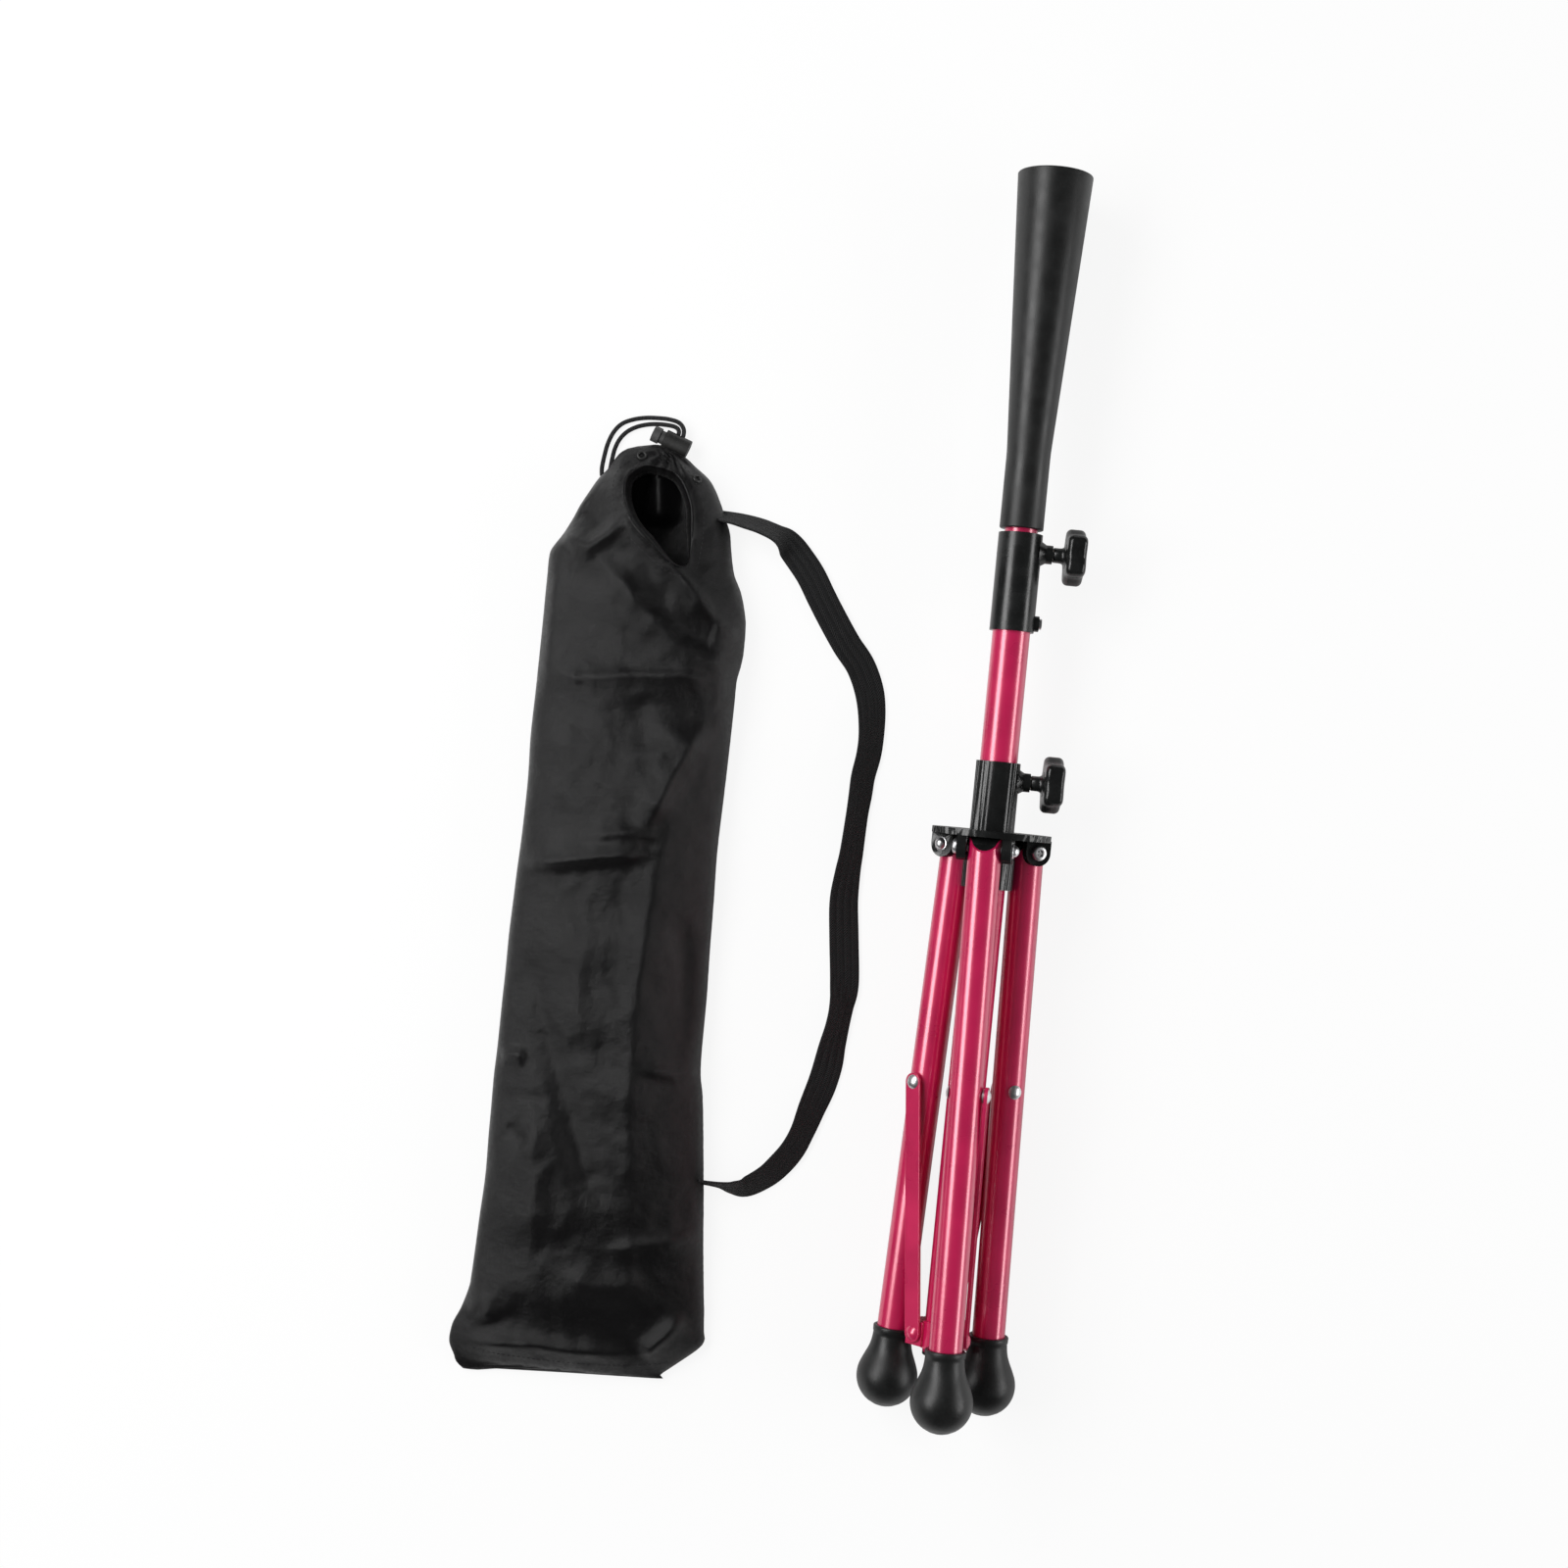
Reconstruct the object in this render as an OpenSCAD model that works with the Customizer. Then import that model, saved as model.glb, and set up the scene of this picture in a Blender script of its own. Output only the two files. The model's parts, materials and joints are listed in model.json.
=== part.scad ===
// Folding tripod batting tee, folded flat, with its drawstring carry bag.
// The tee lies along +Y with its cup at the +Y end; the bag lies beside it at -X.
// The origin is at the middle of the set, on the surface that it lies on.

/* [Main tube] */
// Outside diameter of the main tube
post_d = 25; // [24:0.5:26]
// Wall of the main tube
post_wall = 1.1; // [0.8:0.1:1.1]
// Height of the main tube's lower end above the foot tips
post_base = 44; // [40:1:46]
// Length of the main tube
post_len = 516; // [500:1:530]

/* [Inner tube and cup] */
// Length of the sliding inner tube
riser_len = 440; // [400:1:470]
// Wall of the inner tube
riser_wall = 0.9; // [0.7:0.1:1.2]
// Room between the inner tube and the main tube's bore
riser_room = 0.4; // [0.35:0.05:0.6]
// Ring of inner tube that shows below the cup
ring_gap = 3; // [1:0.5:12]
// Length of the cup
cup_len = 236; // [220:1:250]
// Length of the cup's straight lower part
cup_straight = 52; // [40:1:70]
// Outside diameter of the cup's straight part
cup_base_d = 29; // [27.5:0.5:30]
// Outside diameter of the cup's mouth
cup_mouth_d = 50; // [46:1:56]
// Rubber wall of the cup
cup_wall = 3.2; // [2.6:0.1:3.6]
// Depth of the cup's straight seat at its mouth
cup_seat = 12; // [8:1:20]
// Diameter of the cup's straight seat
cup_seat_d = 43; // [40:0.5:43.5]
// Length of inner tube held in the cup
cup_grip = 100; // [80:1:110]
// Chamfer around the cup's rim
cup_chamfer = 0.8; // [0.4:0.1:1]

/* [Collars and knobs] */
// Wall of the clamp collars
collar_wall = 2.2; // [2:0.1:2.6]
// Length of the upper collar
upper_collar_len = 65; // [60:1:75]
// Main tube held in the upper collar
post_grip = 36; // [32:1:40]
// Distance of a knob's screw from its collar's top edge
knob_set = 12; // [11:0.5:13]
// Length of the lower collar above the hub disc
lower_collar_len = 46; // [40:1:55]
// Outside diameter of a knob's screw boss
boss_d = 12.4; // [12:0.2:14]
// Reach of a screw boss from the tube's axis
boss_reach = 22; // [20:0.5:24]
// Distance of a knob's back face from the tube's axis
knob_reach = 30.5; // [28:0.5:34]
// Thickness of a knob
knob_t = 13; // [10:0.5:15]
// Overall diameter of a knob
knob_d = 39; // [34:1:42]
// Number of lobes on a knob
knob_lobes = 5; // [3:1:7]
// Diameter of a knob's neck
knob_neck_d = 10; // [9:0.5:11]
// Diameter of the clamp screws
stud_d = 6; // [5:0.5:6.5]
// Wall of the threaded inserts
insert_wall = 1.4; // [1.2:0.1:1.6]
// Distance of the upper collar's cap screw from the collar's lower edge
collar_screw_set = 6.5; // [6:0.5:9]
// Diameter of the upper collar's cap screw
collar_screw_d = 4; // [3.5:0.5:4.5]

/* [Hub and legs] */
// Height of the leg pivots above the foot tips, legs folded
pivot_h = 379.5; // [375:0.5:384]
// Distance of the leg pivots from the axis
pivot_r = 27; // [27:0.5:28]
// Distance of the feet's centres from the axis, legs folded
foot_r = 38; // [37.5:0.5:40]
// Turn of the hub against the feet about the axis, legs folded
hub_twist = 12; // [10:0.5:14]
// Angle of the opened legs to the axis
open_angle = 50; // [44:1:52]
// Outside diameter of the leg tubes
leg_d = 22; // [21:0.5:22]
// Wall of the leg tubes
leg_wall = 1; // [0.8:0.1:1.4]
// Radius of a leg's rounded top about its pivot
leg_top_r = 7; // [6:0.5:7]
// Room between a leg's rounded top and the hub disc
disc_room = 0.4; // [0.3:0.1:1]
// Thickness of the hub disc
disc_t = 4.2; // [3:0.2:6]
// Outside diameter of the hub sleeve below the disc
sleeve_d = 34; // [33:0.5:35]
// Reach of the hub sleeve below the pivots
sleeve_drop = 26.5; // [20:0.5:40]
// Room between a leg and each hub ear
ear_room = 0.7; // [0.4:0.1:1]
// Thickness of a hub ear
ear_t = 6.3; // [5:0.1:7]
// Radius of a hub ear about its pivot
ear_r = 8.7; // [7.5:0.1:9]
// Diameter of the leg bolts
bolt_d = 6; // [5:0.5:6]
// Diameter of the bolt heads and nuts
bolt_head_d = 10; // [9:0.5:11]
// Height of a bolt head
bolt_head_h = 3.2; // [2:0.2:4]
// Height of a cap nut
nut_h = 4.4; // [3.6:0.2:5]

/* [Braces] */
// Distance along a leg from its pivot to its brace rivet
rivet_drop = 160; // [154:0.5:164]
// Length of a brace between its two pivots
brace_len = 165; // [163:0.5:168]
// Distance of the lower brace pivots from the axis
brace_pivot_r = 12; // [11:0.5:13]
// Width of a brace
brace_w = 12; // [10:0.5:13]
// Thickness of a brace
brace_t = 2.2; // [1.6:0.1:3]
// Depth of the lower brace pins in their lugs
pin_seat = 3.6; // [2:0.2:3.6]
// Width of the lower hub's lugs
lug_w = 13; // [12:0.5:13]
// Diameter of the brace rivets
rivet_d = 5; // [4:0.5:5]
// Diameter of the rivet heads
rivet_head_d = 9.4; // [8:0.2:10]
// Height of the rivet heads
rivet_head_h = 1.8; // [1.2:0.1:2.2]
// Length of the lower hub
lower_hub_len = 18; // [16:1:20]
// Distance of the lugs from the lower hub's two ends
lug_inset = 1; // [0.5:0.25:1.5]
// Wall of the lower hub
lower_hub_wall = 2.4; // [2:0.1:3]

/* [Feet] */
// Diameter of a foot's ball end
foot_ball_d = 41; // [39:0.5:42]
// Length of a foot
foot_len = 54; // [50:1:60]
// Rubber wall at a foot's neck
foot_wall = 1.8; // [1.4:0.1:2.4]
// Solid rubber below a leg tube's end
foot_sole = 14; // [10:1:18]

/* [Carry bag] */
// Thickness of the bag's cloth walls
cloth_t = 1.6; // [1.2:0.1:2]
// Width of the shoulder strap
strap_w = 20; // [16:1:24]
// Thickness of the shoulder strap
strap_t = 1.6; // [1.2:0.1:2]
// Diameter of the drawcord
cord_d = 3; // [2.6:0.1:3.2]
// Outside diameter of the cord lock's barrel
lock_d = 13; // [12.5:0.5:14]
// Length of the cord lock's barrel
lock_len = 18; // [17:1:20]
// Travel of the cord lock's button
lock_travel = 3; // [2:0.5:3.5]
// Diameter of the cord lock's button
button_d = 11; // [10:0.5:12]
// Height of the cord lock's button
button_h = 5.2; // [4:0.2:7]

/* [Fits] */
// Gap around pieces that are fixed in each other
fit_gap = 0.05; // [0.03:0.01:0.06]
// Gap around pieces that slide or turn in each other
run_gap = 0.08; // [0.05:0.01:0.1]
// Gap between faces that pass each other
pass_gap = 0.3; // [0.3:0.05:0.5]

/* [Hidden] */
$fn = 64;

// Directions of the three feet about the axis, as seen along +Y
FRONT = 270;
RIGHT = 30;
LEFT = 150;
LEGS = [FRONT, RIGHT, LEFT];

// Small fixed sizes of the fillers, caps and screws
plug_flange = 2;
plug_grip = 12;
leg_plug_grip = 22;
cap_grip = 12;
bush_len = 10;
bush_grip = 14;
collar_boss_r = 5.2;
collar_boss_rise = 2.8;
screw_cap_r = 3.6;
screw_cap_h = 1.8;
socket_r = 1.6;
bolt_socket_r = 2.4;
bolt_socket_depth = 1.8;
lead = 1;

// Radii
post_r = post_d / 2;
post_bore_r = post_r - post_wall;
riser_r = post_bore_r - riser_room;
riser_bore_r = riser_r - riser_wall;
leg_r = leg_d / 2;
leg_bore_r = leg_r - leg_wall;
collar_r = post_r + collar_wall;
foot_ball_r = foot_ball_d / 2;
disc_r = foot_r / 2 + foot_ball_r;
sleeve_r = sleeve_d / 2;
bolt_r = bolt_d / 2;
rivet_r = rivet_d / 2;
stud_r = stud_d / 2;
lock_r = lock_d / 2;
insert_r = stud_r + insert_wall;
collar_screw_r = collar_screw_d / 2;

// Heights along the axis, from the foot tips
post_top = post_base + post_len;
upper_collar_base = post_top - post_grip;
upper_collar_top = upper_collar_base + upper_collar_len;
upper_knob_h = upper_collar_top - knob_set;
collar_screw_h = upper_collar_base + collar_screw_set;
cup_base = upper_collar_top + ring_gap;
cup_flare = cup_base + cup_straight;
cup_top = cup_base + cup_len;
riser_top = cup_base + cup_grip;
riser_base = riser_top - riser_len;
disc_base = pivot_h + leg_top_r + disc_room;
disc_top = disc_base + disc_t;
lower_collar_top = disc_top + lower_collar_len;
lower_knob_h = lower_collar_top - knob_set;
sleeve_base = pivot_h - sleeve_drop;

// Place of a folded foot's centre from its leg's pivot: outwards, across and down
foot_in = foot_r * cos(hub_twist) - pivot_r;
foot_side = foot_r * sin(hub_twist);
foot_drop = pivot_h - foot_ball_r;
foot_dist = norm([foot_in, foot_side, foot_drop]);

// Fold geometry: leg and brace angles to the axis, folded and open, and the legs' sideways lean
leg_lean = asin(foot_side / foot_dist);
fold_angle = atan(foot_in / foot_drop);
brace_fold = asin((pivot_r - brace_pivot_r + rivet_drop * sin(fold_angle)) / brace_len);
brace_open = asin((pivot_r - brace_pivot_r + rivet_drop * sin(open_angle)) / brace_len);
hub_span_fold = rivet_drop * cos(fold_angle) + brace_len * cos(brace_fold);
hub_span_open = rivet_drop * cos(open_angle) + brace_len * cos(brace_open);
brace_pivot_h = pivot_h - hub_span_fold;
lower_hub_base = brace_pivot_h - lower_hub_len / 2;

// Planes beside a leg, from its middle plane
ear_in = leg_r + ear_room;
ear_out = ear_in + ear_t;
brace_shadow = 60;
brace_in = leg_r + pass_gap + (rivet_drop + brace_shadow) * tan(leg_lean);
brace_out = brace_in + brace_t;
lug_face = brace_in - pass_gap;
rivet_side = rivet_drop * tan(leg_lean);
rivet_seat = leg_r / cos(leg_lean) + rivet_head_d / 2 * tan(leg_lean) + fit_gap;
hub_flat_r = pivot_r - leg_r - disc_room;

// Place of the set in its own frame
set_half_length = cup_top / 2;
set_half_width = 191;
tee_x = set_half_width - foot_r * cos(RIGHT) - foot_ball_r;
tee_z = disc_r;

echo(travel = hub_span_fold - hub_span_open, leg_swing = open_angle - fold_angle,
     brace_swing = brace_open - brace_fold, pivot = [tee_x, pivot_h - set_half_length, tee_z],
     brace_pivot_h = brace_pivot_h - set_half_length, upper_knob_h = upper_knob_h - set_half_length,
     lower_knob_h = lower_knob_h - set_half_length, cup_top = cup_top - set_half_length,
     riser_base = riser_base, disc_r = disc_r, leg_lean = leg_lean, brace_in = brace_in,
     fold_angle = fold_angle, brace_fold = brace_fold);

RED = [0.72, 0.14, 0.28];
BLACK = [0.10, 0.10, 0.11];
STEEL = [0.80, 0.80, 0.82];
CLOTH = [0.13, 0.13, 0.14];

// ---------- shared shapes ----------

// Lays the tee, built standing along +Z, down along +Y.
module lay() translate([tee_x, -set_half_length, tee_z]) rotate([-90, 0, 0]) children();

module ring(r_out, r_in, h) difference() {
    cylinder(r = r_out, h = h);
    translate([0, 0, -1]) cylinder(r = r_in, h = h + 2);
}

// A hole or rod from x0 to x1 along +X at height h.
module along_x(r, x0, x1, h) translate([x0, 0, h]) rotate([0, 90, 0]) cylinder(r = r, h = x1 - x0);

// A hole or rod from t0 to t1 across a leg, in the leg's own frame.
module across(r, t0, t1, x = 0, z = 0) translate([x, t1, z]) rotate([90, 0, 0]) cylinder(r = r, h = t1 - t0);

// Turns to a leg's hinge: +X away from the axis, +Y across the leg.
module at_leg(dir) rotate([0, 0, dir - hub_twist]) children();

// A leg's hinge frame: origin at its pivot, -Z down the leg but for its lean.
module in_leg(dir) at_leg(dir) translate([pivot_r, 0, pivot_h]) rotate([0, -fold_angle, 0]) children();

// Leans from the hinge frame to the leg's own line.
module leaned() rotate([leg_lean, 0, 0]) children();

// ---------- main tube and what is fixed to it ----------

module main_tube() color(RED) lay() difference() {
    translate([0, 0, post_base]) ring(post_r, post_bore_r, post_len);
    along_x(collar_screw_r + fit_gap, 0, post_r + lead, collar_screw_h);
}

// A screw boss with a flared root, solid through to the axis.
module screw_boss(h) {
    along_x(boss_d / 2, 0, boss_reach, h);
    translate([collar_r - 2, 0, h]) rotate([0, 90, 0]) cylinder(r1 = boss_d / 2 + 3, r2 = boss_d / 2, h = 5);
}

// Pocket of a threaded insert and the clearance hole behind it.
module insert_pocket(h) {
    along_x(insert_r + fit_gap, collar_r - 1, boss_reach + 1, h);
    along_x(stud_r + run_gap, 0, boss_reach + 1, h);
}

module threaded_insert(h) color([0.75, 0.62, 0.30]) difference() {
    along_x(insert_r, collar_r - 1 + fit_gap, boss_reach, h);
    along_x(stud_r + run_gap, 0, boss_reach + 1, h);
}

module upper_collar() color(BLACK) lay() difference() {
    union() {
        translate([0, 0, upper_collar_base]) cylinder(r = collar_r, h = upper_collar_len);
        screw_boss(upper_knob_h);
        along_x(collar_boss_r, 0, collar_r + collar_boss_rise, collar_screw_h);
    }
    translate([0, 0, upper_collar_base - 1]) cylinder(r = post_r + fit_gap, h = post_grip + 1 + fit_gap);
    cylinder(r = riser_r + run_gap, h = upper_collar_top + 1);
    insert_pocket(upper_knob_h);
    along_x(collar_screw_r + fit_gap, 0, collar_r + collar_boss_rise + lead, collar_screw_h);
}

module upper_insert() lay() threaded_insert(upper_knob_h);

module collar_screw() color(STEEL) lay() difference() {
    cap_from = collar_r + collar_boss_rise;
    union() {
        along_x(collar_screw_r, post_bore_r + pass_gap, cap_from + lead, collar_screw_h);
        along_x(screw_cap_r, cap_from, cap_from + screw_cap_h, collar_screw_h);
    }
    translate([cap_from + lead, 0, collar_screw_h]) rotate([0, 90, 0]) cylinder(r = socket_r, h = 2, $fn = 6);
}

module lower_hub() color(RED) lay() difference() {
    union() {
        translate([0, 0, lower_hub_base]) cylinder(r = post_r + lower_hub_wall, h = lower_hub_len);
        for (dir = LEGS) at_leg(dir)
            translate([brace_pivot_r - lug_w / 2, 0, lower_hub_base + lug_inset])
                cube([lug_w, lug_face, lower_hub_len - 2 * lug_inset]);
    }
    translate([0, 0, lower_hub_base - 1]) cylinder(r = post_r + fit_gap, h = lower_hub_len + 2);
    for (dir = LEGS) at_leg(dir)
        across(rivet_r + fit_gap, brace_in - pin_seat - fit_gap, brace_in + lead, brace_pivot_r, brace_pivot_h);
}

module brace_pins() color(RED) lay() for (dir = LEGS) at_leg(dir) {
    head_from = brace_out + run_gap;
    across(rivet_r, brace_in - pin_seat, head_from + lead, brace_pivot_r, brace_pivot_h);
    across(rivet_head_d / 2, head_from, head_from + rivet_head_h, brace_pivot_r, brace_pivot_h);
}

module post_plug() color(BLACK) lay() {
    translate([0, 0, post_base - plug_flange]) cylinder(r = post_r, h = plug_flange);
    translate([0, 0, post_base - plug_flange]) cylinder(r = post_bore_r - fit_gap, h = plug_flange + plug_grip);
}

// ---------- inner tube and cup ----------

module inner_tube() color(RED) lay() translate([0, 0, riser_base]) ring(riser_r, riser_bore_r, riser_len);

cup_base_r = cup_base_d / 2;
cup_mouth_r = cup_mouth_d / 2;
cup_step = riser_top + 3;

function cup_outer_r(h) = cup_base_r + (cup_mouth_r - cup_base_r) * (h - cup_flare) / (cup_top - cup_flare);

cup_seat_r = cup_seat_d / 2;

module cup() color(BLACK) lay() rotate_extrude() polygon([
    [riser_r + fit_gap, cup_base], [cup_base_r - cup_chamfer, cup_base], [cup_base_r, cup_base + cup_chamfer],
    [cup_base_r, cup_flare], [cup_mouth_r, cup_top - 2 * cup_chamfer], [cup_mouth_r - cup_chamfer, cup_top],
    [cup_seat_r + cup_chamfer, cup_top], [cup_seat_r, cup_top - cup_chamfer], [cup_seat_r, cup_top - cup_seat],
    [cup_outer_r(cup_step) - cup_wall, cup_step], [riser_r + fit_gap, cup_step]
]);

module inner_tube_cap() color(BLACK) lay() {
    translate([0, 0, riser_top]) cylinder(r = riser_r, h = plug_flange);
    translate([0, 0, riser_top - cap_grip]) cylinder(r = riser_bore_r - fit_gap, h = cap_grip + lead);
}

module inner_tube_bush() color([0.85, 0.85, 0.83]) lay() {
    translate([0, 0, riser_base - bush_len]) cylinder(r = post_bore_r - run_gap, h = bush_len);
    translate([0, 0, riser_base - lead]) cylinder(r = riser_bore_r - fit_gap, h = bush_grip + lead);
}

// ---------- hub ----------

module ear_pair() {
    for (side = [-1, 1]) {
        t0 = side > 0 ? ear_in : -ear_out;
        across(ear_r, t0, t0 + ear_t, pivot_r, pivot_h);
        translate([pivot_r - ear_r, t0, pivot_h]) cube([2 * ear_r, ear_t, disc_base - pivot_h + 1]);
    }
}

module hub() color(BLACK) lay() difference() {
    union() {
        translate([0, 0, sleeve_base]) cylinder(r = sleeve_r, h = disc_base - sleeve_base + 1);
        translate([0, 0, disc_base]) cylinder(r = disc_r, h = disc_t, $fn = 128);
        translate([0, 0, disc_top - 1]) cylinder(r = collar_r, h = lower_collar_len + 1);
        screw_boss(lower_knob_h);
        for (dir = LEGS) at_leg(dir) ear_pair();
    }
    translate([0, 0, sleeve_base - 1]) cylinder(r = post_r + run_gap, h = lower_collar_top);
    for (dir = LEGS) at_leg(dir) {
        translate([hub_flat_r, -ear_in, sleeve_base - 1]) cube([50, 2 * ear_in, disc_base - sleeve_base + 1]);
        across(bolt_r + fit_gap, -ear_out - 1, ear_out + 1, pivot_r, pivot_h);
    }
    insert_pocket(lower_knob_h);
}

module hub_insert() lay() threaded_insert(lower_knob_h);

module leg_bolts() color(STEEL) lay() for (dir = LEGS) at_leg(dir) difference() {
    union() {
        across(bolt_r, -ear_out - lead, ear_out + nut_h - 1.2, pivot_r, pivot_h);
        across(bolt_head_d / 2, -ear_out - bolt_head_h, -ear_out, pivot_r, pivot_h);
    }
    translate([pivot_r, bolt_socket_depth - ear_out - bolt_head_h, pivot_h]) rotate([90, 0, 0])
        cylinder(r = bolt_socket_r, h = 4, $fn = 6);
}

module leg_nuts() color(STEEL) lay() for (dir = LEGS) at_leg(dir) difference() {
    across(bolt_head_d / 2, ear_out, ear_out + nut_h, pivot_r, pivot_h);
    across(bolt_r + fit_gap, ear_out - lead, ear_out + nut_h - 1.1, pivot_r, pivot_h);
}

// ---------- legs ----------

// Side outline of a leg: rounded about the pivot, and cut back so that it clears the disc when open.
module leg_outline(end) {
    cut = leg_top_r - disc_room;
    edge = leg_r + lead;
    width = edge + foot_side + lead;
    shoulder = (cut - edge * sin(open_angle)) / cos(open_angle);
    union() {
        across(leg_top_r, -width, width);
        translate([0, width, 0]) rotate([90, 0, 0]) linear_extrude(height = 2 * width) polygon([
            [-edge, shoulder], [-cut * sin(open_angle), cut * cos(open_angle)],
            [cut * sin(open_angle), cut * cos(open_angle)], [edge, shoulder],
            [edge, -end], [-edge, -end]
        ]);
    }
}

leg_len = foot_dist + foot_ball_r - foot_sole;

module leg_tube(dir) color(RED) lay() in_leg(dir) difference() {
    intersection() {
        leaned() translate([0, 0, -leg_len]) ring(leg_r, leg_bore_r, leg_len + leg_top_r + lead);
        leg_outline(leg_len + 2 * lead);
    }
    across(bolt_r + run_gap, -leg_r - lead, leg_r + lead);
    across(rivet_r + fit_gap, rivet_side - leg_r - lead, rivet_side + leg_r + lead, 0, -rivet_drop);
}

module leg_plug(dir) color(BLACK) lay() in_leg(dir) difference() {
    intersection() {
        leaned() translate([0, 0, -leg_plug_grip])
            cylinder(r = leg_bore_r - fit_gap, h = leg_plug_grip + leg_top_r + lead);
        leg_outline(leg_plug_grip + 2 * lead);
    }
    across(bolt_r + run_gap, -leg_r - lead, leg_r + lead);
}

module leg_rivet(dir) color(STEEL) lay() in_leg(dir) {
    near_face = rivet_side - rivet_seat;
    across(rivet_r, near_face - lead, lug_face, 0, -rivet_drop);
    across(rivet_head_d / 2, near_face - rivet_head_h, near_face, 0, -rivet_drop);
    across(rivet_head_d / 2, rivet_side + rivet_seat, lug_face, 0, -rivet_drop);
}

module foot(dir) color(BLACK) lay() in_leg(dir) leaned() {
    neck_r = leg_r + foot_wall;
    rise = foot_len - foot_ball_r;
    tangent = atan2(rise, neck_r) - acos(foot_ball_r / sqrt(neck_r * neck_r + rise * rise));
    waist = foot_ball_r * sin(tangent);
    translate([0, 0, -leg_len - foot_sole]) difference() {
        union() {
            translate([0, 0, foot_ball_r]) sphere(r = foot_ball_r);
            translate([0, 0, foot_ball_r + waist])
                cylinder(r1 = foot_ball_r * cos(tangent), r2 = neck_r, h = rise - waist);
        }
        translate([0, 0, foot_sole]) cylinder(r = leg_r + fit_gap, h = foot_len);
    }
}

// ---------- braces ----------

// A brace's own frame: origin at its lower pivot, brace along +Z.
module in_brace(dir) at_leg(dir) translate([brace_pivot_r, 0, brace_pivot_h]) rotate([0, brace_fold, 0]) children();

module brace(dir) color(RED) lay() in_brace(dir) difference() {
    union() {
        across(brace_w / 2, brace_in, brace_out);
        across(brace_w / 2, brace_in, brace_out, 0, brace_len);
        translate([-brace_w / 2, brace_in, 0]) cube([brace_w, brace_t, brace_len]);
    }
    across(rivet_r + fit_gap, brace_in - 1, brace_out + 1);
    across(rivet_r + fit_gap, brace_in - 1, brace_out + 1, 0, brace_len);
}

module brace_rivet(dir) color(STEEL) lay() in_brace(dir) {
    across(rivet_r, brace_in, brace_out + 1, 0, brace_len);
    across(rivet_head_d / 2, brace_out, brace_out + rivet_head_h, 0, brace_len);
}

// ---------- knobs ----------

module knob_plan() {
    lobe_r = knob_d * 0.175;
    circle(r = knob_d * 0.36);
    for (i = [0:knob_lobes - 1]) rotate(360 * i / knob_lobes) translate([knob_d / 2 - lobe_r, 0]) circle(r = lobe_r);
}

module knob(h) color(BLACK) lay() difference() {
    union() {
        translate([knob_reach, 0, h]) rotate([0, 90, 0]) linear_extrude(height = knob_t) knob_plan();
        along_x(knob_neck_d / 2, boss_reach + 0.6, knob_reach + 1, h);
    }
    along_x(stud_r + fit_gap, boss_reach, knob_reach + knob_t - 3, h);
}

// The screw ends just short of the tube that it clamps.
module clamp_screw(h, tube_r) color(STEEL) lay() along_x(stud_r, tube_r + 0.1, knob_reach + knob_t - 3.1, h);

// ---------- carry bag ----------

// Stations along the bag: Y, left edge, right edge, height of the crown
BAG = [
    [-413, -184, -52, 7], [-406, -190, -40, 14], [-396, -191, -27, 20], [-386, -189, -20, 24],
    [-366, -182.5, -22, 30], [-335, -180.5, -25.5, 34], [-290, -178.5, -29.5, 37], [-245, -179, -34, 38],
    [-202, -178.5, -40, 36], [-150, -178.3, -41, 38], [-100, -177.7, -42, 38], [-63, -176.5, -43, 36],
    [-23, -176, -42.5, 38], [18, -176.7, -41.5, 37], [61, -176.4, -41, 38], [80, -176.3, -38.5, 38],
    [108, -176.1, -40.5, 38], [131, -175.8, -49, 37], [140, -173.5, -52, 36], [150, -167, -54, 35],
    [167, -159.5, -58.5, 32], [178, -152, -63, 30], [183, -137.5, -65, 29], [195, -134.5, -73, 25],
    [202, -131.5, -83, 21], [207, -123, -94, 15]
];

// Outline of the mouth in the front panel
MOUTH = [
    [-112, 196], [-124, 188], [-128, 175], [-122, 160], [-104, 143], [-85, 128], [-67, 109], [-52, 96],
    [-50, 112], [-55, 132], [-62, 152], [-69, 172], [-82, 190], [-96, 197]
];

ARCH_STEPS = 12;

function arch(s, inset, floor_z) = [
    for (k = [0:ARCH_STEPS]) let (
        a = 180 * k / ARCH_STEPS,
        left = s[1] + inset,
        right = s[2] - inset
    ) [(left + right) / 2 - (right - left) / 2 * cos(a), s[0], floor_z + (s[3] - inset - cloth_t) * pow(sin(a), 0.8)]
];

// A closed loft through arches, flat below.
module loft(arches) {
    m = len(arches[0]);
    n = len(arches);
    polyhedron(points = [for (a = arches) for (p = a) p], faces = concat(
        [for (j = [0:n - 2]) for (k = [0:m - 2]) each [
            [j * m + k, (j + 1) * m + k, j * m + k + 1], [j * m + k + 1, (j + 1) * m + k, (j + 1) * m + k + 1]]],
        [for (j = [0:n - 2]) each [
            [j * m, j * m + m - 1, (j + 1) * m], [(j + 1) * m, j * m + m - 1, (j + 1) * m + m - 1]]],
        [for (k = [1:m - 2]) [0, k, k + 1]],
        [for (k = [1:m - 2]) [(n - 1) * m, (n - 1) * m + k + 1, (n - 1) * m + k]]
    ));
}

// Moves the two end stations inwards, for the hollow.
function shorten(s, j) = j == 0 ? [s[0] + cloth_t, s[1], s[2], s[3]]
    : j == len(BAG) - 1 ? [s[0] - cloth_t, s[1], s[2], s[3]] : s;

module bag_front_panel() color(CLOTH) difference() {
    loft([for (s = BAG) arch(s, 0, cloth_t)]);
    translate([0, 0, -0.01]) loft([for (j = [0:len(BAG) - 1]) arch(shorten(BAG[j], j), cloth_t, cloth_t)]);
    translate([0, 0, cloth_t - 0.5]) linear_extrude(height = 60) polygon(MOUTH);
}

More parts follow.
